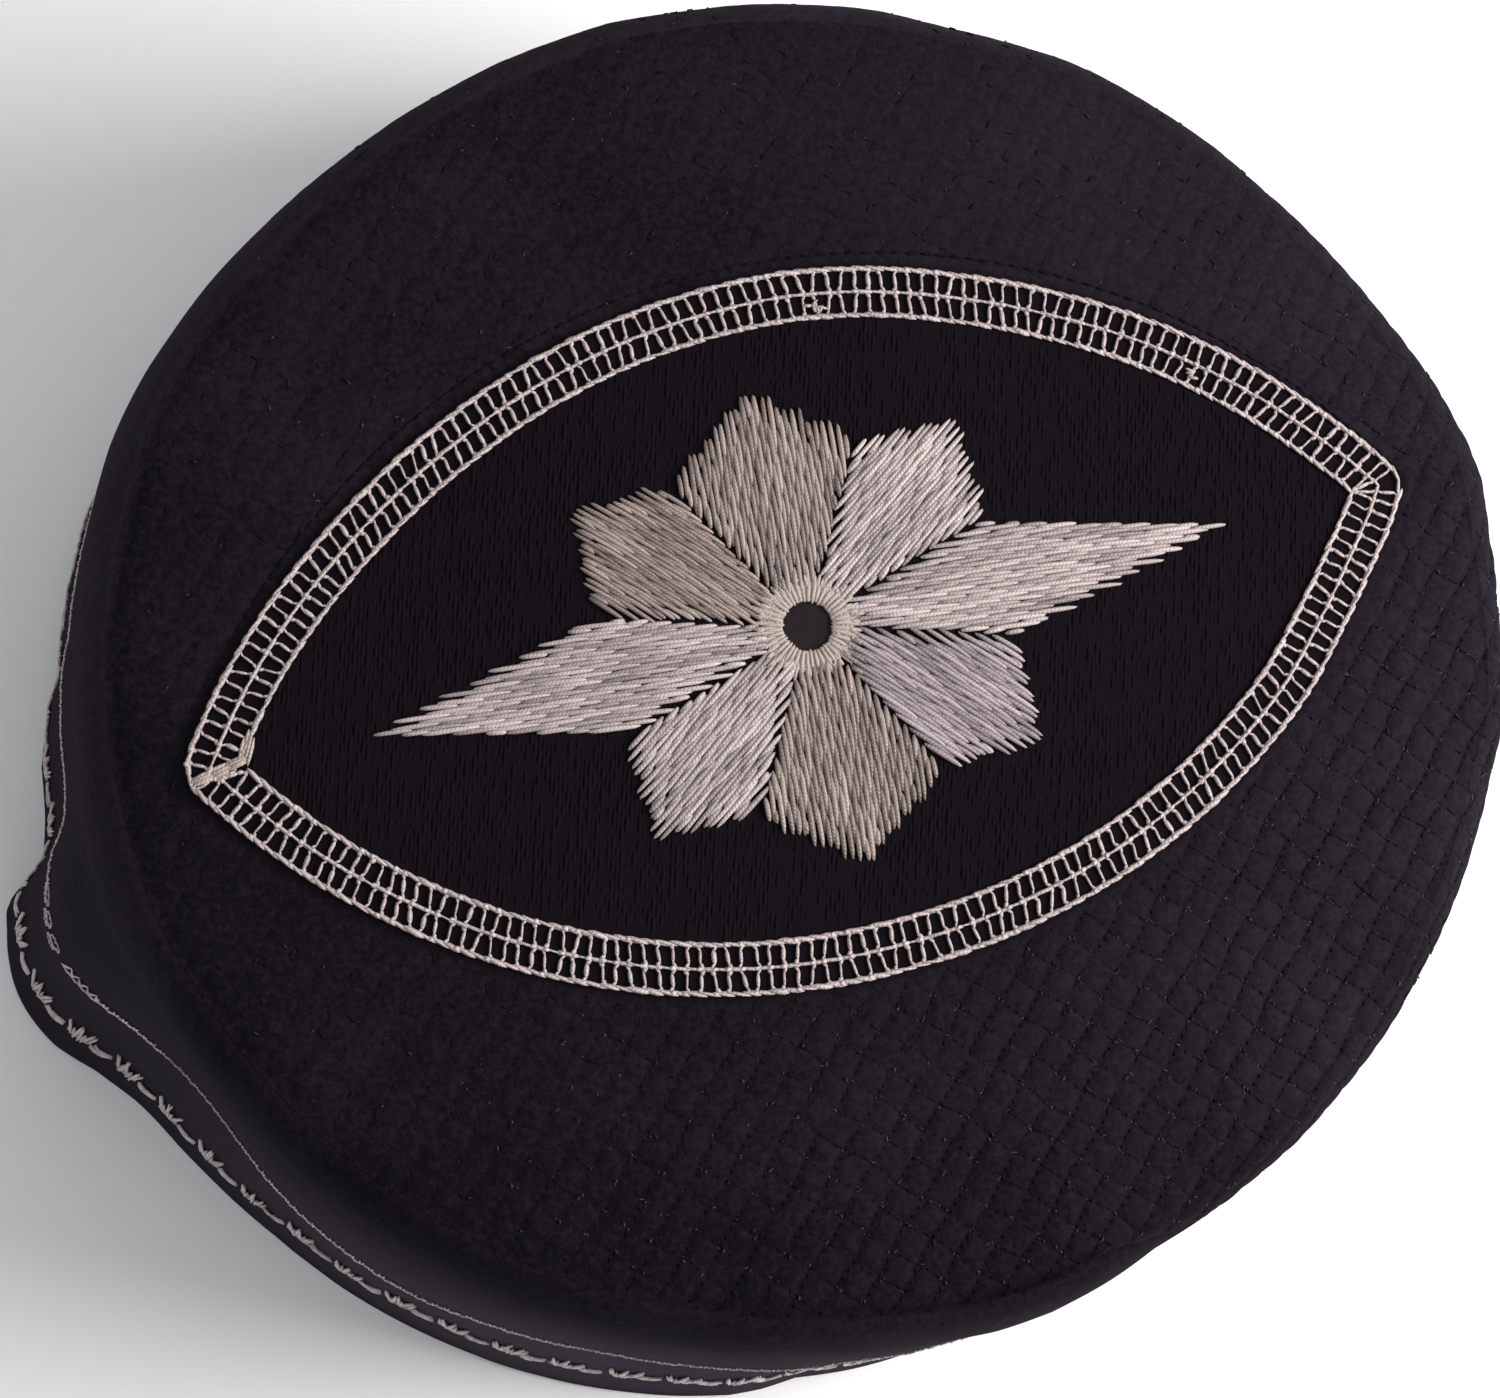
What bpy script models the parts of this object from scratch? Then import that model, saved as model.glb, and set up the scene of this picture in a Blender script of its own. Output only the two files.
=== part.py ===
# A stiff kufi that stands on its rim. It has a domed, quilted crown, a side band whose rounded
# shoulder meets the crown in a seam, and an embroidered star inside a lens-shaped border on top.
# The rim lies on z = 0 with its middle at the origin. +X runs along the lens, +Z points up.
import math

import bmesh
import bpy

MM = 0.001
SEGMENTS = 120

# Heights above the rim
TOP_HEIGHT = 92.0 * MM
SEAM_HEIGHT = 87.2 * MM
SHOULDER_HEIGHT = 76.0 * MM
UPPER_ROW_HEIGHT = 50.0 * MM
LOWER_ROW_HEIGHT = 13.5 * MM

# The outline at the shoulder is an oval, turned a little from the lens
OVAL_LENGTH = 182.0 * MM
OVAL_WIDTH = 170.4 * MM
OVAL_TURN = math.radians(-8.0)

# The wall widens from the shoulder down to the rim, a little more across the hat than along it
RIM_FLARE = 6.1 * MM
FLARE_WAVE = 0.8 * MM
FLARE_WAVE_TURN = math.radians(240.0)

# The shoulder rolls over from the wall to the seam in a quarter of an ellipse
ROLL_WIDTH = 7.0 * MM
ROLL_RISE = 12.0 * MM
ROLL_TURNS = (40.0, 65.0, 90.0)

WALL = 2.5 * MM
CROWN_THICKNESS = 3.0 * MM
CROWN_EDGE_DROP = 0.7 * MM
CROWN_CURVE = 2.2
GAP = 0.3 * MM
RIM_CHAMFER = 0.5 * MM
RIM_CHAMFER_HEIGHT = 1.2 * MM

# The wall folds flat along two creases, at opposite ends of the hat, where it stands out
CREASES = (
    {"azimuth": 185.0, "share": 1.0},
    {"azimuth": 5.0, "share": 1.0},
)
CREASE_PROFILE = (
    {"height": 0.0 * MM, "reach": 8.5 * MM, "half_width": 10.0},
    {"height": LOWER_ROW_HEIGHT, "reach": 7.7 * MM, "half_width": 9.0},
    {"height": UPPER_ROW_HEIGHT, "reach": 6.0 * MM, "half_width": 7.5},
    {"height": SHOULDER_HEIGHT, "reach": 1.3 * MM, "half_width": 8.0},
    {"height": TOP_HEIGHT, "reach": 0.0 * MM, "half_width": 9.0},
)

# Soft swells and dents of the wall; a dent has a negative reach
WALL_FOLDS = (
    {"azimuth": 221.0, "height": 50.0 * MM, "reach": 1.7 * MM, "half_width": 12.0, "half_height": 20.0 * MM},
    {"azimuth": 202.0, "height": 50.0 * MM, "reach": -1.2 * MM, "half_width": 6.0, "half_height": 16.0 * MM},
    {"azimuth": 300.0, "height": 40.0 * MM, "reach": -1.4 * MM, "half_width": 22.0, "half_height": 24.0 * MM},
    {"azimuth": 70.0, "height": 42.0 * MM, "reach": 1.2 * MM, "half_width": 26.0, "half_height": 24.0 * MM},
    {"azimuth": 130.0, "height": 36.0 * MM, "reach": -1.3 * MM, "half_width": 16.0, "half_height": 22.0 * MM},
)

# Embroidery, placed from the middle of the star, which lies off the middle of the crown
STAR_X = -0.6 * MM
STAR_Y = 3.2 * MM
THREAD_HEIGHT = 0.6 * MM

LENS_HALF_LENGTH = 77.6 * MM
LENS_HALF_WIDTH = 44.1 * MM
BORDER_WIDTH = 6.0 * MM
BORDER_STEPS = 36

RING_RADIUS = 6.4 * MM
RING_HOLE_RADIUS = 2.8 * MM
RING_STEPS = 32

PETAL_START = RING_RADIUS + 0.4 * MM
PETAL_GAP = 1.2 * MM
PETAL_TIP_WIDTH = 0.5 * MM
PETAL_BODY_ROWS = 4
PETAL_POINT_ROWS = 4
PETAL_COLUMNS = 3
LONG_SHOULDER = {"angle": 17.0, "radius": 25.8 * MM}
CROSS_SHOULDER = {"angle": 60.5, "radius": 23.7 * MM}
PETALS = (
    {"name": "star_petal_right", "angle": 0.0, "tip": 53.7 * MM},
    {"name": "star_petal_upper_right", "angle": 40.0, "tip": 31.2 * MM},
    {"name": "star_petal_top", "angle": 90.0, "tip": 28.9 * MM},
    {"name": "star_petal_upper_left", "angle": 140.0, "tip": 31.2 * MM},
    {"name": "star_petal_left", "angle": 180.0, "tip": 53.7 * MM},
    {"name": "star_petal_lower_left", "angle": 220.0, "tip": 31.2 * MM},
    {"name": "star_petal_bottom", "angle": 270.0, "tip": 28.9 * MM},
    {"name": "star_petal_lower_right", "angle": 320.0, "tip": 31.2 * MM},
)

CLOTH_BLACK = {"color": (0.016, 0.012, 0.018, 1.0), "roughness": 0.85}
BAND_BLACK = {"color": (0.020, 0.016, 0.022, 1.0), "roughness": 0.8}
BORDER_THREAD = {"color": (0.55, 0.49, 0.48, 1.0), "roughness": 0.45}
STAR_THREAD = {"color": (0.50, 0.44, 0.42, 1.0), "roughness": 0.4}
RING_THREAD = {"color": (0.62, 0.56, 0.52, 1.0), "roughness": 0.4}


def clear_scene():
    for item in list(bpy.data.objects):
        bpy.data.objects.remove(item)


def make_material(name, look):
    material = bpy.data.materials.new(name)
    material.use_nodes = True
    shader = material.node_tree.nodes["Principled BSDF"]
    shader.inputs["Base Color"].default_value = look["color"]
    shader.inputs["Roughness"].default_value = look["roughness"]
    shader.inputs["Metallic"].default_value = 0.0
    return material


def add_object(name, mesh_builder, look, smooth_angle=40.0):
    shell = bmesh.new()
    mesh_builder(shell)
    bmesh.ops.recalc_face_normals(shell, faces=shell.faces)
    mesh = bpy.data.meshes.new(name)
    shell.to_mesh(mesh)
    shell.free()
    mesh.shade_smooth()
    mesh.set_sharp_from_angle(angle=math.radians(smooth_angle))
    mesh.materials.append(make_material(name + "_finish", look))
    part = bpy.data.objects.new(name, mesh)
    bpy.context.scene.collection.objects.link(part)
    return part


# The outline and the surface of the hat


def angle_between(azimuth, middle):
    # Signed angle from middle to azimuth, in degrees
    return (math.degrees(azimuth) - middle + 180.0) % 360.0 - 180.0


def hill(distance, half_width):
    return math.exp(-((distance / half_width) ** 2))


def shoulder_radius(azimuth):
    turn = azimuth - OVAL_TURN
    along = math.cos(turn) / (OVAL_LENGTH / 2)
    across = math.sin(turn) / (OVAL_WIDTH / 2)
    return 1.0 / math.hypot(along, across)


def crease_size(height):
    # Reach and half width of a crease at this height, eased between the rows of the profile
    for low, high in zip(CREASE_PROFILE, CREASE_PROFILE[1:]):
        if height <= high["height"]:
            share = max(0.0, (height - low["height"]) / (high["height"] - low["height"]))
            reach = low["reach"] + share * (high["reach"] - low["reach"])
            width = low["half_width"] + share * (high["half_width"] - low["half_width"])
            return reach, width
    return CREASE_PROFILE[-1]["reach"], CREASE_PROFILE[-1]["half_width"]


def wall_radius(azimuth, height):
    lowness = max(0.0, 1.0 - height / SHOULDER_HEIGHT)
    flare = RIM_FLARE + FLARE_WAVE * math.cos(2 * (azimuth - FLARE_WAVE_TURN))
    radius = shoulder_radius(azimuth) + flare * lowness
    reach, half_width = crease_size(height)
    for crease in CREASES:
        radius += crease["share"] * reach * hill(angle_between(azimuth, crease["azimuth"]), half_width)
    for fold in WALL_FOLDS:
        near = hill(angle_between(azimuth, fold["azimuth"]), fold["half_width"])
        radius += fold["reach"] * near * hill(height - fold["height"], fold["half_height"])
    return radius


def seam_inset():
    # The roll has risen to the height of the seam at this distance in from the shoulder
    turn = math.acos((SEAM_HEIGHT - SHOULDER_HEIGHT) / ROLL_RISE)
    return ROLL_WIDTH * (1.0 - math.sin(turn))


def crown_radius(azimuth):
    return wall_radius(azimuth, SEAM_HEIGHT) - seam_inset() - GAP


def crown_height(x, y):
    share = min(1.0, math.hypot(x, y) / crown_radius(math.atan2(y, x)))
    return TOP_HEIGHT - (TOP_HEIGHT - SEAM_HEIGHT) * share ** CROWN_CURVE


# Closed bodies


def azimuths():
    return [math.tau * index / SEGMENTS for index in range(SEGMENTS)]


def ring_of(shell, radius_at, height_at):
    ring = []
    for azimuth in azimuths():
        radius = radius_at(azimuth)
        ring.append(shell.verts.new((radius * math.cos(azimuth), radius * math.sin(azimuth), height_at(azimuth))))
    return ring


def bridge(shell, first, second):
    count = len(first)
    for index in range(count):
        after = (index + 1) % count
        shell.faces.new((first[index], first[after], second[after], second[index]))


def fan(shell, ring, middle):
    for index, vert in enumerate(ring):
        shell.faces.new((vert, ring[(index + 1) % len(ring)], middle))


def band_section():
    # The closed cut through the wall as (inset from the outside, height): down the outside, under
    # the rim and up the inside
    seam_turn = math.acos((SEAM_HEIGHT - SHOULDER_HEIGHT) / ROLL_RISE)
    turns = [seam_turn] + [math.radians(turn) for turn in ROLL_TURNS]
    outside = [(ROLL_WIDTH * (1 - math.sin(t)), SHOULDER_HEIGHT + ROLL_RISE * math.cos(t)) for t in turns]
    middle_heights = (62.0 * MM, UPPER_ROW_HEIGHT, 34.0 * MM, LOWER_ROW_HEIGHT)
    outside += [(0.0, height) for height in middle_heights]
    rim = [(0.0, RIM_CHAMFER_HEIGHT), (RIM_CHAMFER, 0.0)]
    rim += [(WALL - RIM_CHAMFER, 0.0), (WALL, RIM_CHAMFER_HEIGHT)]
    inside = [(WALL, height) for height in reversed(middle_heights)]
    for t in reversed(turns):
        inset = ROLL_WIDTH * (1 - math.sin(t)) + WALL * math.sin(t)
        inside.append((inset, SHOULDER_HEIGHT + (ROLL_RISE - WALL) * math.cos(t)))
    inside[-1] = (outside[0][0], SEAM_HEIGHT - WALL)
    return outside + rim + inside


def build_side_band(shell):
    section = band_section()
    rings = []
    for inset, height in section:
        rings.append(ring_of(shell, lambda a: wall_radius(a, height) - inset, lambda a: height))
    for index, ring in enumerate(rings):
        bridge(shell, ring, rings[(index + 1) % len(rings)])


def build_crown(shell):
    top_shares = (0.2, 0.45, 0.65, 0.82, 0.96)
    under_shares = (0.9, 0.6, 0.25)

    def height_at(share, drop):
        return lambda a: TOP_HEIGHT - (TOP_HEIGHT - SEAM_HEIGHT) * share ** CROWN_CURVE - drop

    rings = []
    for share in top_shares:
        rings.append(ring_of(shell, lambda a: crown_radius(a) * share, height_at(share, 0.0)))
    rings.append(ring_of(shell, crown_radius, height_at(1.0, CROWN_EDGE_DROP)))
    rings.append(ring_of(shell, crown_radius, height_at(1.0, CROWN_THICKNESS)))
    for share in under_shares:
        rings.append(ring_of(shell, lambda a: crown_radius(a) * share, height_at(share, CROWN_THICKNESS)))
    for upper, lower in zip(rings, rings[1:]):
        bridge(shell, upper, lower)
    fan(shell, rings[0], shell.verts.new((0.0, 0.0, TOP_HEIGHT)))
    fan(shell, rings[-1], shell.verts.new((0.0, 0.0, TOP_HEIGHT - CROWN_THICKNESS)))


def on_crown(shell, x, y, lift):
    # A point of the embroidery, measured from the middle of the star and above the cloth
    hat_x = x + STAR_X
    hat_y = y + STAR_Y
    return shell.verts.new((hat_x, hat_y, crown_height(hat_x, hat_y) + GAP + lift))


def lens_arc(radius, centre_drop, step_count):
    # Points of one arc from the left tip to the right one, without the right tip itself
    half_angle = math.acos(centre_drop / radius)
    points = []
    for index in range(step_count):
        angle = -half_angle + 2 * half_angle * index / step_count
        points.append((radius * math.sin(angle), radius * math.cos(angle) - centre_drop))
    return points


def build_lens_border(shell):
    radius = (LENS_HALF_LENGTH ** 2 + LENS_HALF_WIDTH ** 2) / (2 * LENS_HALF_WIDTH)
    centre_drop = radius - LENS_HALF_WIDTH
    outer = lens_arc(radius, centre_drop, BORDER_STEPS)
    inner = lens_arc(radius - BORDER_WIDTH, centre_drop, BORDER_STEPS)
    outer += [(-x, -y) for x, y in outer]
    inner += [(-x, -y) for x, y in inner]
    edges = []
    for outline, lift in ((outer, 0.0), (outer, THREAD_HEIGHT), (inner, THREAD_HEIGHT), (inner, 0.0)):
        edges.append([on_crown(shell, x, y, lift) for x, y in outline])
    for index, edge in enumerate(edges):
        bridge(shell, edge, edges[(index + 1) % len(edges)])


def build_star_ring(shell):
    edges = []
    corners = ((RING_RADIUS, 0.0), (RING_RADIUS, THREAD_HEIGHT), (RING_HOLE_RADIUS, THREAD_HEIGHT), (RING_HOLE_RADIUS, 0.0))
    for radius, lift in corners:
        edge = []
        for index in range(RING_STEPS):
            angle = math.tau * index / RING_STEPS
            edge.append(on_crown(shell, radius * math.cos(angle), radius * math.sin(angle), lift))
        edges.append(edge)
    for index, edge in enumerate(edges):
        bridge(shell, edge, edges[(index + 1) % len(edges)])


def petal_sides(angle):
    # The gap lines on both sides of a petal, as (angle, shoulder radius), right side first
    gaps = []
    for quarter in range(4):
        for corner in (LONG_SHOULDER, CROSS_SHOULDER):
            mirrored = corner["angle"] if quarter % 2 == 0 else 90.0 - corner["angle"]
            gaps.append(((mirrored + 90.0 * quarter) % 360.0, corner["radius"]))
    after = min(gaps, key=lambda gap: (gap[0] - angle) % 360.0)
    before = min(gaps, key=lambda gap: (angle - gap[0]) % 360.0)
    return before, after


def petal_edge(gap, side, tip):
    # One long edge of a petal: out along the gap to the shoulder, then in a straight line to the tip
    gap_angle = math.radians(gap[0])
    along = (math.cos(gap_angle), math.sin(gap_angle))
    away = (-side * along[1], side * along[0])
    start = (PETAL_START * along[0] + away[0] * PETAL_GAP / 2, PETAL_START * along[1] + away[1] * PETAL_GAP / 2)
    shoulder = (gap[1] * along[0] + away[0] * PETAL_GAP / 2, gap[1] * along[1] + away[1] * PETAL_GAP / 2)
    corners = ((start, shoulder, PETAL_BODY_ROWS), (shoulder, tip, PETAL_POINT_ROWS))
    edge = []
    for first, last, rows in corners:
        for row in range(rows):
            share = row / rows
            edge.append((first[0] + share * (last[0] - first[0]), first[1] + share * (last[1] - first[1])))
    edge.append(tip)
    return edge


def build_petal(shell, petal):
    before, after = petal_sides(petal["angle"])
    angle = math.radians(petal["angle"])
    half_tip = PETAL_TIP_WIDTH / 2
    tip = (petal["tip"] * math.cos(angle), petal["tip"] * math.sin(angle))
    across = (-math.sin(angle) * half_tip, math.cos(angle) * half_tip)
    right = petal_edge(before, 1, (tip[0] - across[0], tip[1] - across[1]))
    left = petal_edge(after, -1, (tip[0] + across[0], tip[1] + across[1]))
    layers = []
    for lift in (0.0, THREAD_HEIGHT):
        rows = []
        for near, far in zip(right, left):
            row = []
            for column in range(PETAL_COLUMNS + 1):
                share = column / PETAL_COLUMNS
                x = near[0] + share * (far[0] - near[0])
                y = near[1] + share * (far[1] - near[1])
                if not rows:
                    # The first row follows the ring, in an arc
                    stretch = math.hypot(*near) / math.hypot(x, y)
                    x *= stretch
                    y *= stretch
                row.append(on_crown(shell, x, y, lift))
            rows.append(row)
        layers.append(rows)
    for rows in layers:
        for row, following in zip(rows, rows[1:]):
            for column in range(PETAL_COLUMNS):
                shell.faces.new((row[column], row[column + 1], following[column + 1], following[column]))
    low = petal_outline(layers[0])
    high = petal_outline(layers[1])
    bridge(shell, low, high)


def petal_outline(rows):
    # The vertices round the edge of one layer, in order
    first = rows[0]
    last = rows[-1]
    outline = list(first)
    outline += [row[-1] for row in rows[1:-1]]
    outline += list(reversed(last))
    outline += [row[0] for row in reversed(rows[1:-1])]
    return outline


def main():
    clear_scene()
    add_object("side_band", build_side_band, BAND_BLACK)
    add_object("crown", build_crown, CLOTH_BLACK)
    add_object("lens_border", build_lens_border, BORDER_THREAD)
    add_object("star_ring", build_star_ring, RING_THREAD)
    for petal in PETALS:
        add_object(petal["name"], lambda shell, row=petal: build_petal(shell, row), STAR_THREAD)


main()
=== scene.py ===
# A stiff black kufi with a quilted crown and an embroidered star, standing on its rim.
# Everything is in metres, +Z up, +X along the embroidered lens, with the rim on z = 0.
import math

import bpy
import numpy as np
from mathutils import Matrix, Vector


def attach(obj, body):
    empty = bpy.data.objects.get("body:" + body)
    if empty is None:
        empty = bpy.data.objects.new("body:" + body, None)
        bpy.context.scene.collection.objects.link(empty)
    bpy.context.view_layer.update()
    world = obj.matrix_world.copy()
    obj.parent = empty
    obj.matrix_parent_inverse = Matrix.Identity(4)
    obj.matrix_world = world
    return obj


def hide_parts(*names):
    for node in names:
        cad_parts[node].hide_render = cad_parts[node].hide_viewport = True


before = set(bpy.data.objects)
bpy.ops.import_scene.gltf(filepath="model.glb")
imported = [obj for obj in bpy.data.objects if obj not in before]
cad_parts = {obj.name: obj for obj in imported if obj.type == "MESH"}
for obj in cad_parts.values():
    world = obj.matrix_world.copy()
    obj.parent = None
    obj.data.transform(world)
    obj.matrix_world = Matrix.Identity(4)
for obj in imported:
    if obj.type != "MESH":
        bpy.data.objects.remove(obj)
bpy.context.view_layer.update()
mm = 0.001
print("frame loaded,", len(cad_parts), "solids")


# One socket of a node tree. Sums and products of wires add Math nodes, in shaders and in geometry alike.
class Wire:
    def __init__(self, tree, socket=None):
        self.tree = tree
        self.socket = socket

    def node(self, kind, settings=None, inputs=None, output=0):
        made = self.tree.nodes.new(kind)
        for name, value in (settings or {}).items():
            if name == "stops":
                while len(made.color_ramp.elements) < len(value):
                    made.color_ramp.elements.new(0.5)
                for element, (position, color) in zip(made.color_ramp.elements, value):
                    element.position = position
                    element.color = color
            else:
                setattr(made, name, value)
        for key, value in (inputs or {}).items():
            target = made.inputs[key] if isinstance(key, int) else findSocket(made.inputs, key)
            if isinstance(value, Wire):
                self.tree.links.new(value.socket, target)
            else:
                target.default_value = value
        if not len(made.outputs):
            return Wire(self.tree)
        return Wire(self.tree, made.outputs[output] if isinstance(output, int) else findSocket(made.outputs, output))

    def out(self, name):  # another output of the same node
        return Wire(self.tree, findSocket(self.socket.node.outputs, name))

    def math(self, operation, *others):
        inputs = {index: value for index, value in enumerate((self,) + others)}
        return self.node("ShaderNodeMath", {"operation": operation}, inputs)

    def __add__(self, other):
        return self.math("ADD", other)

    __radd__ = __add__

    def __mul__(self, other):
        return self.math("MULTIPLY", other)

    __rmul__ = __mul__

    def __sub__(self, other):
        return self.math("SUBTRACT", other)

    def __rsub__(self, other):
        return self.node("ShaderNodeMath", {"operation": "SUBTRACT"}, {0: other, 1: self})

    def __truediv__(self, other):
        return self.math("DIVIDE", other)

    def __abs__(self):
        return self.math("ABSOLUTE")


def findSocket(sockets, key):
    live = [socket for socket in sockets if not socket.is_unavailable]
    return next(socket for socket in live if key in (socket.identifier, socket.name))


# The form of the hat, the same as the solids have
hatForm = {
    "topHeight": 92.0 * mm,
    "seamHeight": 87.2 * mm,
    "shoulderHeight": 76.0 * mm,
    "ovalLength": 182.0 * mm,
    "ovalWidth": 170.4 * mm,
    "ovalTurn": math.radians(-8.0),
    "rimFlare": 6.1 * mm,
    "flareWave": 0.8 * mm,
    "flareWaveTurn": math.radians(240.0),
    "rollWidth": 7.0 * mm,
    "rollRise": 12.0 * mm,
    "wall": 2.5 * mm,
    "gap": 0.3 * mm,
    "crownCurve": 2.2,
    "starX": -0.6 * mm,
    "starY": 3.2 * mm,
}
creaseAzimuths = (185.0, 5.0)  # the wall folds flat along these
creaseProfile = (
    {"height": 0.0 * mm, "reach": 8.5 * mm, "halfWidth": 10.0},
    {"height": 13.5 * mm, "reach": 7.7 * mm, "halfWidth": 9.0},
    {"height": 50.0 * mm, "reach": 6.0 * mm, "halfWidth": 7.5},
    {"height": 76.0 * mm, "reach": 1.3 * mm, "halfWidth": 8.0},
    {"height": 92.0 * mm, "reach": 0.0 * mm, "halfWidth": 9.0},
)
wallFolds = (
    {"azimuth": 221.0, "height": 50.0 * mm, "reach": 1.7 * mm, "halfWidth": 12.0, "halfHeight": 20.0 * mm},
    {"azimuth": 202.0, "height": 50.0 * mm, "reach": -1.2 * mm, "halfWidth": 6.0, "halfHeight": 16.0 * mm},
    {"azimuth": 300.0, "height": 40.0 * mm, "reach": -1.4 * mm, "halfWidth": 22.0, "halfHeight": 24.0 * mm},
    {"azimuth": 70.0, "height": 42.0 * mm, "reach": 1.2 * mm, "halfWidth": 26.0, "halfHeight": 24.0 * mm},
    {"azimuth": 130.0, "height": 36.0 * mm, "reach": -1.3 * mm, "halfWidth": 16.0, "halfHeight": 22.0 * mm},
)
# How far the rim is turned out below the lower row: azimuth, millimetres
rimKick = np.array((
    (150, 0.0), (176, 0.0), (182, 0.6), (186, 1.2), (190, 1.4), (195, 0.5), (201, 0.4), (207, 0.7), (213, 1.1),
    (219, 1.0), (225, 1.05), (231, 1.15), (237, 1.3), (243, 1.6), (249, 1.4), (262, 0.9), (285, 0.5), (310, 0.0),
))
# How far the cloth lies outside the solids' smooth form: azimuth, at the rim, from the shoulder up, in millimetres
clothSettle = np.array((
    (1, 0.0, 0.2), (6, -0.3, -0.5), (11, -0.5, -0.7), (16, -1.0, -1.4), (21, -1.0, -1.55), (26, -1.2, -1.75),
    (31, -1.0, -1.7), (36, -1.0, -1.25), (46, -0.5, -0.7), (52, 0.0, -0.3), (58, 0.0, -0.6), (62, 0.0, -0.6),
    (68, 0.0, -0.1), (80, 0.0, 0.2), (92, 0.2, 0.4), (100, 0.0, -0.2), (121, 0.0, -0.7), (126, 0.0, -0.7),
    (135, 0.2, 0.0), (141, 0.6, 0.6), (147, 0.6, 0.7), (151, 0.0, 0.2), (155, -0.6, 0.0), (161, -1.6, -0.2),
    (164, -0.4, 0.0), (168, -0.3, 0.0), (172, -1.5, 0.0), (175, -2.1, 0.0), (176.5, -1.2, 0.0), (178, 1.2, 0.0),
    (179, 1.7, 0.0), (180.5, 1.2, 0.0), (183, 0.9, 0.0), (187, 0.8, 0.0), (190, 0.7, 0.0), (193, -0.4, 0.0),
    (197, -0.6, 0.0), (202, -0.2, 0.0), (208, -0.2, 0.0), (213, -0.5, 0.0), (220, 0.0, 0.0), (241, 0.6, 0.0),
    (250, 0.6, 0.2), (255, 0.4, 0.3), (258, -0.3, 0.45), (261, -1.4, 0.6), (266, -1.4, 0.9), (271, -1.4, 1.1),
    (276, -1.4, 0.9), (281, -1.4, 0.0), (286, -1.3, -0.9), (291, -1.0, -0.9), (301, -0.5, -1.2), (306, 0.0, -1.5),
    (336, -0.3, -1.3), (341, 0.0, -0.2), (346, 0.0, -0.4), (351, 0.0, -0.6), (356, 0.0, -0.5),
))


def hill(distance, halfWidth):
    return np.exp(-((distance / halfWidth) ** 2))


def ease(value, low, high):  # 0 below low, 1 above high, smooth between
    share = np.clip((value - low) / (high - low), 0.0, 1.0)
    return share * share * (3.0 - 2.0 * share)


def angleFrom(azimuth, middle):  # signed degrees from middle
    return (np.degrees(azimuth) - middle + 180.0) % 360.0 - 180.0


def heading(turn):
    return np.array([math.cos(turn), math.sin(turn)])


def headings(turns):
    return np.stack([np.cos(turns), np.sin(turns)], axis=1)


def unit(vectors):
    return vectors / np.linalg.norm(vectors, axis=-1, keepdims=True)


def atAzimuth(radius, azimuth, height):  # points at a distance from the hat's upright axis
    return np.stack([radius * np.cos(azimuth), radius * np.sin(azimuth), height + 0 * azimuth], axis=-1)


def aroundHat(azimuth, table, column=1):  # a column of a table that runs once round the hat
    return np.interp(np.degrees(azimuth), table[:, 0], table[:, column], period=360.0)


def wallRadius(azimuth, height):
    azimuth, height = np.broadcast_arrays(np.asarray(azimuth, float), np.asarray(height, float))
    turn = azimuth - hatForm["ovalTurn"]
    along = np.cos(turn) / (hatForm["ovalLength"] / 2)
    across = np.sin(turn) / (hatForm["ovalWidth"] / 2)
    wave = hatForm["flareWave"] * np.cos(2 * (azimuth - hatForm["flareWaveTurn"]))
    lowness = np.maximum(0.0, 1.0 - height / hatForm["shoulderHeight"])
    radius = 1.0 / np.hypot(along, across) + (hatForm["rimFlare"] + wave) * lowness
    atRim = aroundHat(azimuth, clothSettle, 1)
    atTop = aroundHat(azimuth, clothSettle, 2)
    radius = radius + (atRim * lowness + atTop * (1.0 - lowness)) * mm
    heights = [row["height"] for row in creaseProfile]
    reach = np.interp(height, heights, [row["reach"] for row in creaseProfile])
    halfWidth = np.interp(height, heights, [row["halfWidth"] for row in creaseProfile])
    for middle in creaseAzimuths:
        radius = radius + reach * hill(angleFrom(azimuth, middle), halfWidth)
    for fold in wallFolds:
        near = hill(angleFrom(azimuth, fold["azimuth"]), fold["halfWidth"])
        radius = radius + fold["reach"] * near * hill(height - fold["height"], fold["halfHeight"])
    drawnIn = ease(height, 0.5 * mm, 9.0 * mm) * (1.0 - ease(height, 24.0 * mm, 55.0 * mm))
    return radius - aroundHat(azimuth, rimKick) * mm * drawnIn


seamTurn = math.acos((hatForm["seamHeight"] - hatForm["shoulderHeight"]) / hatForm["rollRise"])
seamInset = hatForm["rollWidth"] * (1.0 - math.sin(seamTurn))
rollTurns = np.linspace(seamTurn, math.pi / 2, 400)
rollInset = hatForm["rollWidth"] * (1 - np.sin(rollTurns))
rollHeight = hatForm["shoulderHeight"] + hatForm["rollRise"] * np.cos(rollTurns)
rollTravel = np.concatenate([[0.0], np.cumsum(np.hypot(np.diff(rollInset), np.diff(rollHeight)))])
rollLength = rollTravel[-1]


def crownRadius(azimuth):
    return wallRadius(azimuth, hatForm["seamHeight"]) - seamInset - hatForm["gap"]


def crownBase(x, y):
    share = np.minimum(1.0, np.hypot(x, y) / crownRadius(np.arctan2(y, x)))
    return hatForm["topHeight"] - (hatForm["topHeight"] - hatForm["seamHeight"]) * share ** hatForm["crownCurve"]


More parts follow.
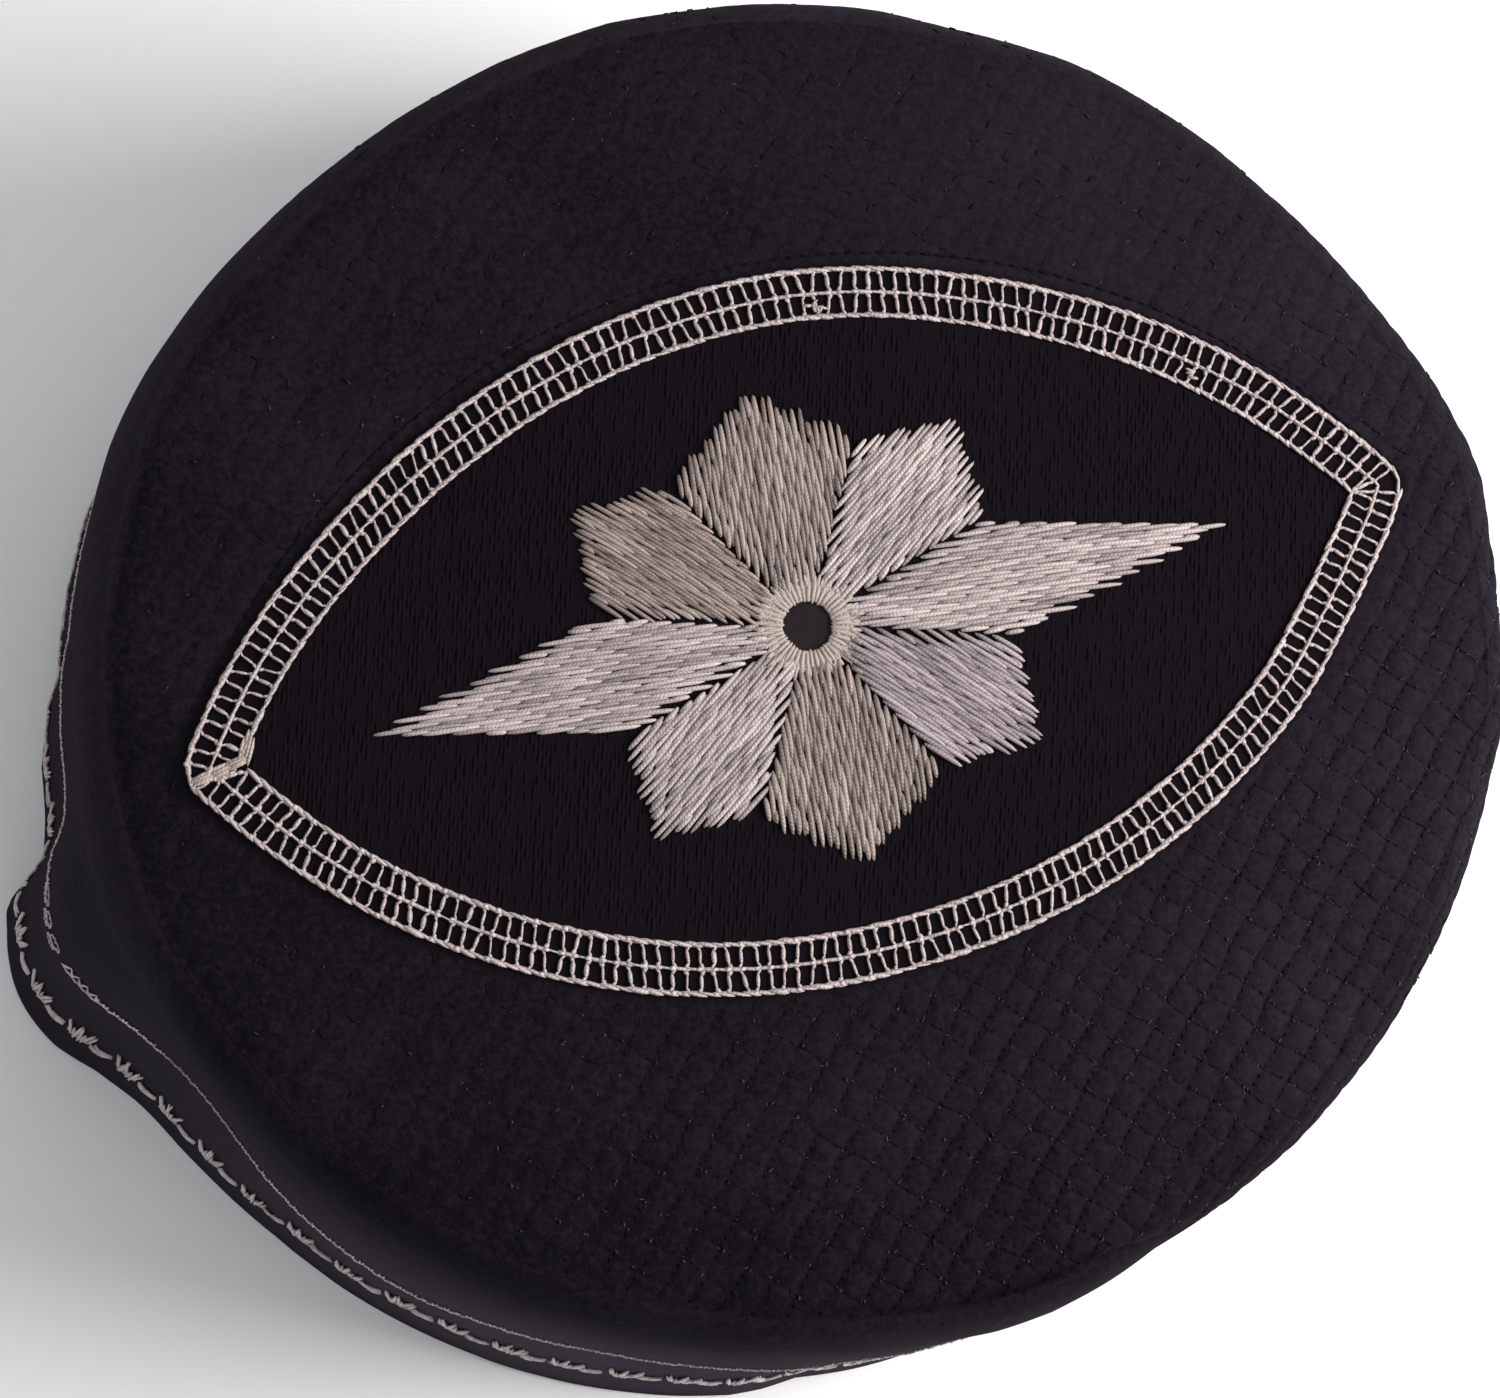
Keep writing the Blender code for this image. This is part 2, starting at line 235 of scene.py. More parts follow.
# The quilted cloth ends in a sewn seam. It lies on the crown's edge between two azimuths, to the left and in front,
# and low on the roll elsewhere, where the photograph shows quilting up to the outline.
seam = {
    "shownFrom": 137.0,
    "shownTo": 278.0,
    "slope": 18.0,
    "lowest": 11.0 * mm,
    "drop": 0.6 * mm,
    "width": 1.1 * mm,
    "middle": 250.0,  # the next two give degrees from here
    "deepens": (-10.0, 25.0),
    "fades": (36.0, 56.0),
    "softDepth": 0.25,
    "fullDepth": 0.75,
    "edgeDrop": 0.46 * mm,
    "edgeWidth": 4.0 * mm,
}


def seamDepth(azimuth):  # the joint is drawn in fully in front, and softly on the left
    away = angleFrom(azimuth, seam["middle"])
    share = ease(away, *seam["deepens"]) * (1 - ease(away, *seam["fades"]))
    return seam["softDepth"] + (seam["fullDepth"] - seam["softDepth"]) * share


def seamTravel(azimuth):  # how far outside the crown's edge the seam lies
    middle = (seam["shownFrom"] + seam["shownTo"]) / 2
    half = (seam["shownTo"] - seam["shownFrom"]) / 2
    return seam["lowest"] * ease(np.abs(angleFrom(azimuth, middle)), half, half + seam["slope"])


# The lens round the star, measured from the middle of the star
lens = {
    "halfLength": 77.6 * mm,
    "halfWidth": 44.1 * mm,
    "borderWidth": 6.0 * mm,
}
arcRadius = (lens["halfLength"] ** 2 + lens["halfWidth"] ** 2) / (2 * lens["halfWidth"])
arcDrop = arcRadius - lens["halfWidth"]


# How far the sewn border drifts outwards from true arcs: angle along the arc, upper arc, lower arc
lensDrift = np.array((
    (-60, 1.75, 0.35), (-56, 1.60, 0.30), (-52, 1.35, 0.20), (-46, 0.92, 0.12), (-40, 0.40, 0.00),
    (-34, 0.05, -0.04), (-24, -0.15, -0.10), (-12, 0.00, -0.05), (0, 0.25, -0.03), (6, 0.35, 0.17),
    (12, 0.20, 0.37), (20, -0.10, 0.75), (28, 0.00, 1.08), (34, 0.35, 1.28), (40, 0.70, 1.45),
    (46, 1.10, 1.10), (52, 1.40, 1.25), (56, 1.80, 1.80), (60, 2.00, 2.00),
))


def arcDrift(angle, side):  # side 1 is the upper arc, -1 the lower, and between them both are blended
    upper = np.interp(np.degrees(angle), lensDrift[:, 0], lensDrift[:, 1])
    lower = np.interp(np.degrees(angle), lensDrift[:, 0], lensDrift[:, 2])
    return (upper * (1 + side) + lower * (1 - side)) / 2 * mm


def lensDistance(x, y):  # how far outside the lens a point of the crown lies, negative inside
    along, across = x - hatForm["starX"], y - hatForm["starY"]
    side = np.clip(across / (2.0 * mm), -1.0, 1.0)
    reach = np.abs(across) + arcDrop
    return np.hypot(along, reach) - arcRadius - arcDrift(np.arctan2(along, reach), side)


# Quilting: two families of sewn lines, each given by the direction across its lines
quilt = {
    "acrossU": math.radians(43.2),
    "acrossV": math.radians(135.1),
    "pitchU": 3.64 * mm,
    "pitchV": 3.68 * mm,
    "startU": 1.07 * mm,
    "startV": -0.21 * mm,
    "padLow": 0.16 * mm,
    "padHigh": 0.56 * mm,
    "fullSide": math.radians(-58.0),
    "fullFrom": -20.0 * mm,
    "fullTo": 75.0 * mm,
    "grooveDepth": 0.12 * mm,
    "steps": 7,  # mesh squares along one side of a pad
    "stitchesPerSide": 3,
    "fieldLift": 0.10 * mm,  # the cloth inside the lens is pressed flat
    "swell": 0.30 * mm,
    "thickness": 3.0 * mm,
    "edgeTurns": 240,
    "meshHalf": 100.0 * mm,  # how far the crown's grid reaches each way before it is cut round
    "sewnHalf": 105.0 * mm,
    "acrossLineU": 0.35,  # how full a pad stays where it crosses a U line
    "unevenPads": (0.7, 0.5),
    "flattenOnRoll": 0.6,
    "rollFrom": 1.0 * mm,
    "rollTo": 9.0 * mm,
}
quiltAxes = [heading(quilt["acrossU"]).tolist(), heading(quilt["acrossV"]).tolist()]
# The crown's cut edge and underside: share of the radius, and depth below the top in millimetres
crownUnderside = np.array(((1.0, 1.3), (0.998, 2.6), (0.985, 3.0), (0.93, 3.0), (0.7, 3.0), (0.35, 3.0)))
quiltBack = np.linalg.inv(np.array(quiltAxes))
sewnWaves = ((0.07, 2.1, 1.3, 0.7), (0.06, 1.8, 1.1, 0.9))

# Soft creases in the crown near its seam, from one end to the other
crownCreases = (
    {"from": (-95.6 * mm, -2.5 * mm), "to": (-80.0 * mm, 3.4 * mm), "depth": 0.55 * mm, "halfWidth": 2.6 * mm},
    {"from": (-71.8 * mm, -40.0 * mm), "to": (-58.2 * mm, -30.0 * mm), "depth": 0.5 * mm, "halfWidth": 2.8 * mm},
    {"from": (-46.7 * mm, -62.9 * mm), "to": (-36.1 * mm, -50.8 * mm), "depth": 0.45 * mm, "halfWidth": 3.0 * mm},
)


def sewnWander(u, v, sine=np.sin):  # the sewn lines aren't quite straight
    def wave(own, other, size, across, bend, along):
        return size * sine(across * other + bend * sine(along * own))

    return wave(u, v, *sewnWaves[0]), wave(v, u, *sewnWaves[1])


def quiltUV(x, y, sine=np.sin):  # whole numbers lie on the sewn lines; x and y are numbers or wires
    u = (x * quiltAxes[0][0] + y * quiltAxes[0][1] - quilt["startU"]) / quilt["pitchU"]
    v = (x * quiltAxes[1][0] + y * quiltAxes[1][1] - quilt["startV"]) / quilt["pitchV"]
    wanderU, wanderV = sewnWander(u, v, sine)
    return u + wanderU, v + wanderV


def quiltXY(u, v):
    wanderU, wanderV = sewnWander(u, v)
    across = quilt["startU"] + (u - wanderU) * quilt["pitchU"]
    along = quilt["startV"] + (v - wanderV) * quilt["pitchV"]
    return quiltBack[0, 0] * across + quiltBack[0, 1] * along, quiltBack[1, 0] * across + quiltBack[1, 1] * along


def cellValue(u, v):  # an even spread of values from 0 to 1, one for each pad
    mixed = np.sin(np.floor(u) * 12.9898 + np.floor(v) * 78.233) * 43758.5453
    return mixed - np.floor(mixed)


def lineHollow(x, y, crease):  # a shallow hollow along a line that fades at both ends
    start = np.array(crease["from"])
    run = np.array(crease["to"]) - start
    share = ((x - start[0]) * run[0] + (y - start[1]) * run[1]) / (run @ run)
    away = ((x - start[0]) * run[1] - (y - start[1]) * run[0]) / math.sqrt(run @ run)
    return crease["depth"] * hill(away, crease["halfWidth"]) * ease(share, -0.1, 0.25) * (1 - ease(share, 0.7, 1.2))


def quiltFullness(x, y):
    return ease(x * math.cos(quilt["fullSide"]) + y * math.sin(quilt["fullSide"]), quilt["fullFrom"], quilt["fullTo"])


def quiltRelief(x, y, toSeam):  # pads between the sewn lines, fuller on the right and in front
    u, v = quiltUV(x, y)
    acrossU = quilt["acrossLineU"] + (1.0 - quilt["acrossLineU"]) * np.sqrt(np.abs(np.sin(np.pi * u)))
    least, more = quilt["unevenPads"]
    pads = np.sqrt(np.abs(np.sin(np.pi * v))) * acrossU
    pads = pads * (least + more * cellValue(u, v))
    pads = pads * (quilt["padLow"] + (quilt["padHigh"] - quilt["padLow"]) * quiltFullness(x, y))
    return ease(toSeam, 0.0, 1.3 * mm) * (pads - quilt["grooveDepth"])


def jointDrop(away):  # rounds the edge between the crown and the roll
    return seam["edgeDrop"] * np.maximum(0.0, 1.0 - np.abs(away) / seam["edgeWidth"]) ** 2


def crownHeight(x, y):
    radius = np.hypot(x, y)
    azimuth = np.arctan2(y, x)
    edge = crownRadius(azimuth) - radius
    toSeam = edge + seamTravel(azimuth)
    outside = ease(lensDistance(x, y), 0.3 * mm, 1.6 * mm)
    height = crownBase(x, y) + outside * quiltRelief(x, y, toSeam) + (1 - outside) * quilt["fieldLift"]
    height = height - 0.25 * mm * hill(lensDistance(x, y) - 1.0 * mm, 0.9 * mm)  # the border pulls the cloth in
    swell = np.sin(x / 0.019 + 1.3) * np.sin(y / 0.023 + 0.4) + 0.6 * np.sin((x + y) / 0.012) * np.sin((x - y) / 0.015)
    height = height + quilt["swell"] * swell * ease(edge, 2.0 * mm, 25.0 * mm)
    for crease in crownCreases:
        height = height - lineHollow(x, y, crease)
    return height - seam["drop"] * seamDepth(azimuth) * hill(toSeam, seam["width"]) - jointDrop(edge)


def rollRelief(azimuth, travel):  # the same pads and seam on the band's roll, measured outwards
    reach = crownRadius(azimuth) + hatForm["gap"] + travel
    toSeam = seamTravel(azimuth) - travel
    relief = quiltRelief(reach * np.cos(azimuth), reach * np.sin(azimuth), toSeam)
    flatter = quilt["flattenOnRoll"] * ease(travel, quilt["rollFrom"], quilt["rollTo"])
    relief = relief * (1.0 - flatter) * (travel < rollLength * 1.2)
    return relief - seam["drop"] * seamDepth(azimuth) * hill(toSeam, seam["width"]) - jointDrop(travel)


def rollPlaces(azimuth, travel):  # points of the plain roll and wall, with their normals
    def plain(a, s):
        below = np.maximum(0.0, s - rollLength)
        height = np.interp(s, rollTravel, rollHeight) - below
        radius = wallRadius(a, height) - np.interp(s, rollTravel, rollInset)
        return atAzimuth(radius, a, height)

    azimuth, travel = np.broadcast_arrays(np.asarray(azimuth, float), np.asarray(travel, float))
    sideways = plain(azimuth + 0.0015, travel) - plain(azimuth - 0.0015, travel)
    downwards = plain(azimuth, travel + 0.1 * mm) - plain(azimuth, np.maximum(0.0, travel - 0.1 * mm))
    normal = unit(np.cross(downwards, sideways))
    upright = 1.0 - ease(travel, 0.0, 3.0 * mm)[..., None]  # at the crown's edge the relief is upright like the crown's
    return plain(azimuth, travel), unit(normal * (1.0 - upright) + np.array([0.0, 0.0, 1.0]) * upright)


def crownPlaces(x, y, lift=0.0):  # points on the cap's quilted cloth, also past the crown's edge, with their normals
    step = 0.4 * mm
    slopeX = (crownBase(x + step, y) - crownBase(x - step, y)) / (2 * step)
    slopeY = (crownBase(x, y + step) - crownBase(x, y - step)) / (2 * step)
    normal = unit(np.stack([-slopeX, -slopeY, np.ones_like(slopeX)], axis=-1))
    lift = np.asarray(lift)[..., None]
    point = np.stack([x, y, crownHeight(x, y)], axis=-1) + normal * lift
    azimuth = np.arctan2(y, x)
    travel = np.hypot(x, y) - crownRadius(azimuth) - hatForm["gap"]
    outer, outerNormal = rollPlaces(azimuth, np.maximum(0.0, travel))
    outer = outer + outerNormal * (rollRelief(azimuth, travel)[..., None] + lift)
    past = (travel > 0)[..., None]
    return np.where(past, outer, point), np.where(past, outerNormal, normal)


# Materials
def startMaterial(name):
    material = bpy.data.materials.new(name)
    material.use_nodes = True
    material.node_tree.nodes.clear()
    return material, Wire(material.node_tree)


def finishMaterial(wire, color, roughness, height, bump, fixed):
    inputs = {"Base Color": color, "Roughness": roughness}
    inputs["Normal"] = wire.node(
        "ShaderNodeBump", {}, {"Strength": bump["strength"], "Distance": bump["distance"], "Height": height}, "Normal")
    inputs.update(fixed)
    shader = wire.node("ShaderNodeBsdfPrincipled", {}, inputs, "BSDF")
    wire.node("ShaderNodeOutputMaterial", {}, {"Surface": shader})


def noise(wire, place, scale, detail=2.0, roughness=0.5):
    inputs = {"Vector": place, "Scale": scale, "Detail": detail, "Roughness": roughness}
    return wire.node("ShaderNodeTexNoise", {}, inputs, "Fac")


def blendColor(wire, share, first, second, how="MIX"):
    settings = {"data_type": "RGBA", "blend_type": how, "clamp_factor": True}
    inputs = {"Factor_Float": share, "A_Color": first, "B_Color": second}
    return wire.node("ShaderNodeMix", settings, inputs, "Result_Color")


def smoothStep(wire, value, low, high):
    inputs = {"Value": value, "From Min": low, "From Max": high, "To Min": 0.0, "To Max": 1.0}
    return wire.node("ShaderNodeMapRange", {"interpolation_type": "SMOOTHSTEP"}, inputs, "Result")


clothLook = {
    "dark": (0.0060, 0.0048, 0.0070, 1.0),
    "light": (0.0232, 0.0188, 0.0266, 1.0),
    "field": (0.0062, 0.0046, 0.0064, 1.0),
    "middle": (0.0190, 0.0140, 0.0165, 1.0),
    # the near-black colour of painted shade in the needle holes, along the sewn lines and along the seam
    "grooveShade": (0.0012, 0.0009, 0.0014, 1.0),
    "roughness": 0.9,
    "specular": 0.02,
    "sheen": 0.012,
    "bandSheen": 0.03,
    "sheenTint": (0.80, 0.72, 0.84, 1.0),
    "yarn": 0.42 * mm,  # one thread of the weave
    "holeRadius": 0.30 * mm,
    # the colour of painted sheen on the wall
    "paintedSheenColor": (0.045, 0.038, 0.050, 1.0),
}


# Painted shade in the needle holes and along the sewn lines, as masks that are 1 at their darkest. It is stronger
# towards the front right, where the pads are fuller, and it is patchy. The needle-hole mask also dents the bump.
def quiltMarks(wire, place, x, y):  # needle holes and grooves along the sewn lines, 1 at their darkest
    lines = quiltUV(x, y, lambda value: value.math("SINE"))
    toLine = [line.math("PINGPONG", 0.5) * quilt["pitchU"] for line in lines]
    perSide = quilt["stitchesPerSide"]
    toHole = [(line * float(perSide)).math("PINGPONG", 0.5) * (quilt["pitchU"] / perSide) for line in lines]
    holeU = (toLine[0] * toLine[0] + toHole[1] * toHole[1]).math("SQRT")
    holeV = (toLine[1] * toLine[1] + toHole[0] * toHole[0]).math("SQRT")
    hole = 1.0 - smoothStep(wire, holeV.math("MINIMUM", holeU * 1.35), 0.06 * mm, clothLook["holeRadius"])
    grooveShade = 1.0 - smoothStep(wire, toLine[1].math("MINIMUM", toLine[0] * 2.2), 0.0, 0.8 * mm)
    toFullSide = x * math.cos(quilt["fullSide"]) + y * math.sin(quilt["fullSide"])
    fullness = smoothStep(wire, toFullSide, quilt["fullFrom"], quilt["fullTo"]) * 0.75 + 0.25
    # the painted shade is patchy, weaker in places
    patchyShade = smoothStep(wire, noise(wire, place, 330.0, 2.0, 0.6), 0.3, 0.62) * 0.8 + 0.2
    return hole * fullness * patchyShade, grooveShade * fullness * patchyShade


def finishCloth(wire, place, weave, marks, base, bump, specular, sheen):
    hole, grooveShade = marks
    fuzz = noise(wire, place, 2600.0, 2.0, 0.7)
    lumps = noise(wire, place, 620.0, 3.0, 0.65)
    seamLine = wire.node("ShaderNodeAttribute", {"attribute_name": "seamLine"}, {}, "Fac")
    # Painted shade: the colour goes near-black in the needle holes, along the sewn lines and where the seam is drawn
    # in.
    base = blendColor(wire, hole * 0.6 + grooveShade * 0.3 + seamLine * 0.75, base, clothLook["grooveShade"])
    height = weave * 0.10 + fuzz * 0.5 + lumps * 2.2 - hole * 1.8
    fixed = {
        "Specular IOR Level": specular,
        "Sheen Weight": sheen,
        "Sheen Roughness": 0.5,
        "Sheen Tint": clothLook["sheenTint"],
    }
    finishMaterial(wire, base, clothLook["roughness"] + fuzz * 0.08, height, bump, fixed)


# The cloth's colour: black with soft lighter patches and a fine grain. The last argument is painted light and shade. It
# pushes the colour towards the light end where the cloth should look lit, and towards the dark end where it should look
# shaded.
def clothColor(wire, place, shade):  # black with soft lighter patches and a fine grain
    patches = noise(wire, place, 45.0, 3.0)
    grain = noise(wire, place, 1100.0, 3.0, 0.75)
    return blendColor(wire, patches * 0.5 + grain * 1.3 - 0.48 + shade, clothLook["dark"], clothLook["light"])


def makeQuiltCloth():
    material, wire = startMaterial("quiltedCloth")
    place = wire.node("ShaderNodeTexCoord", {}, {}, "Object")
    x = wire.node("ShaderNodeSeparateXYZ", {}, {"Vector": place}, "X")
    y = x.out("Y")
    sewn = wire.node("ShaderNodeAttribute", {"attribute_name": "quilted"}, {}, "Fac")
    hole, grooveShade = quiltMarks(wire, place, x, y)
    weave = (x * (math.tau / clothLook["yarn"])).math("SINE") * (y * (math.tau / clothLook["yarn"])).math("SINE")
    # Painted light and shade on the crown: the cloth is made lighter towards the right and darker in front on the left.
    shade = smoothStep(wire, x, -5 * mm, 62 * mm) * 0.24 - smoothStep(wire, 0.0 - x - y, 40 * mm, 100 * mm) * 0.10 - 0.2
    base = blendColor(wire, sewn, clothLook["field"], clothColor(wire, place, shade))
    toMiddleX, toMiddleY = x - hatForm["starX"], y - hatForm["starY"]
    toMiddle = (toMiddleX * toMiddleX + toMiddleY * toMiddleY).math("SQRT")
    base = blendColor(wire, smoothStep(wire, toMiddle, 3.3 * mm, 3.0 * mm), base, clothLook["middle"])
    bump = {"strength": 0.7, "distance": 0.16 * mm}
    finishCloth(wire, place, weave, (hole * sewn, grooveShade * sewn), base, bump, clothLook["specular"], clothLook["sheen"])
    return material


def makeBandCloth():
    material, wire = startMaterial("bandCloth")
    place = wire.node("ShaderNodeTexCoord", {}, {}, "Object")
    cloth = wire.node("ShaderNodeUVMap", {"uv_map": "cloth"}, {}, "UV")  # millimetres along and down the wall
    along = wire.node("ShaderNodeSeparateXYZ", {}, {"Vector": cloth}, "X")
    down = along.out("Y")
    plan = wire.node("ShaderNodeUVMap", {"uv_map": "plan"}, {}, "UV")  # the quilting's plan, unrolled outwards
    x = wire.node("ShaderNodeSeparateXYZ", {}, {"Vector": plan}, "X")
    y = x.out("Y")
    sewn = wire.node("ShaderNodeAttribute", {"attribute_name": "quilted"}, {}, "Fac")
    hole, grooveShade = quiltMarks(wire, place, x, y)
    twill = ((along + down) * (math.tau / 0.62)).math("SINE")
    yarn = (down * (math.tau / 0.31)).math("SINE") * (along * (math.tau / 0.31)).math("SINE")
    # Painted sheen: the wall's colour is blended towards a pale colour, most in front on the left and low on the wall.
    paleness = wire.node("ShaderNodeAttribute", {"attribute_name": "paleness"}, {}, "Fac")
    placeX = wire.node("ShaderNodeSeparateXYZ", {}, {"Vector": place}, "X")
    # Painted light and shade on the band: near the crown the roll is made darker in front and lighter towards the back
    # on the left. The whole band is made lighter on the right.
    towardsBack = placeX.out("Y") * 0.85 - placeX * 0.5
    shade = smoothStep(wire, towardsBack, 0.0, 70 * mm) * 0.5 - 0.2
    shade = shade * (1.0 - smoothStep(wire, down, 9.0, 22.0)) + smoothStep(wire, placeX, 30 * mm, 85 * mm) * 0.25
    base = blendColor(wire, paleness, clothColor(wire, place, shade), clothLook["paintedSheenColor"])
    weave = twill + yarn * 0.6
    bump = {"strength": 0.6, "distance": 0.12 * mm}
    finishCloth(wire, place, weave, (hole * sewn, grooveShade * sewn), base, bump, 0.0, clothLook["bandSheen"])
    return material


# Threads: the dark and the light end of the colour, and how glossy, soft and twisted they are
threadLooks = {
    "blackThread": {
        "dark": (0.0020, 0.0016, 0.0024, 1.0), "light": (0.0070, 0.0056, 0.0078, 1.0),
        "roughness": 0.6, "specular": 0.08, "sheen": 0.0, "twisted": 0.8},
    # Painted glints: the knots are tangles of the black thread, coloured far lighter.
    "knotThreadPaintedGlint": {
        "dark": (0.0030, 0.0024, 0.0034, 1.0), "light": (0.055, 0.046, 0.059, 1.0),
        "roughness": 0.5, "specular": 0.25, "sheen": 0.0, "twisted": 0.8},
    "fieldThread": {
        "dark": (0.0055, 0.0041, 0.0058, 1.0), "light": (0.0080, 0.0060, 0.0083, 1.0),
        "roughness": 0.75, "specular": 0.02, "sheen": 0.0, "twisted": 0.8},
    "borderThread": {
        "dark": (0.28, 0.225, 0.22, 1.0), "light": (0.62, 0.53, 0.515, 1.0),
        "roughness": 0.42, "specular": 0.4, "sheen": 0.05, "twisted": 0.8},
    "ringThread": {
        "dark": (0.32, 0.26, 0.235, 1.0), "light": (0.47, 0.395, 0.36, 1.0),
        "roughness": 0.5, "specular": 0.3, "sheen": 0.05, "twisted": 0.3},
    "rowThread": {
        "dark": (0.38, 0.32, 0.33, 1.0), "light": (0.82, 0.73, 0.73, 1.0),
        "roughness": 0.5, "specular": 0.3, "sheen": 0.1, "twisted": 0.8},
    "creamThread": {
        "dark": (0.26, 0.205, 0.17, 1.0), "light": (0.58, 0.48, 0.42, 1.0),
        "roughness": 0.45, "specular": 0.4, "sheen": 0.05, "twisted": 0.8},
}
petalThreadLook = {"roughness": 0.34, "specular": 0.5, "sheen": 0.05, "twisted": 0.75}


def makeThread(name, dark, light, roughness, specular, sheen, twisted):
    material, wire = startMaterial(name)
    place = wire.node("ShaderNodeTexCoord", {}, {}, "Object")
    twist = wire.node("ShaderNodeAttribute", {"attribute_name": "twist"}, {}, "Fac")
    tone = wire.node("ShaderNodeAttribute", {"attribute_name": "tone"}, {}, "Fac")
    strands = (twist * math.tau).math("SINE")
    fuzz = noise(wire, place, 1500.0, 3.0, 0.6)
    share = (tone * 0.5 + 0.5) * 0.7 + fuzz * 0.45 - 0.1 + strands * 0.06
    color = blendColor(wire, share, dark, light)
    fixed = {"Specular IOR Level": specular, "Sheen Weight": sheen, "Sheen Roughness": 0.35}
    height = strands * 0.5 + fuzz * 0.5
    finishMaterial(wire, color, roughness + fuzz * 0.12, height, {"strength": twisted, "distance": 0.05 * mm}, fixed)
    return material


# Geometry Nodes: every edge of a wire mesh becomes one stitch of thread
stitchInputs = (
    ("Width", "Float", 0.5 * mm),
    ("Height", "Float", 0.4 * mm),
    ("End Dip", "Float", 0.55),
    ("End Taper", "Float", 0.9),
    ("Overlap", "Float", 0.0),
    ("Width Jitter", "Float", 0.1),
    ("Side Jitter", "Float", 0.04 * mm),
    ("Lift Jitter", "Float", 0.02 * mm),
    ("Tone Jitter", "Float", 0.5),
    ("Twist Pitch", "Float", 0.55 * mm),
    ("Sides", "Int", 6),
    ("Segments", "Int", 5),
    ("Seed", "Int", 1),
    ("Material", "Material", None),
)


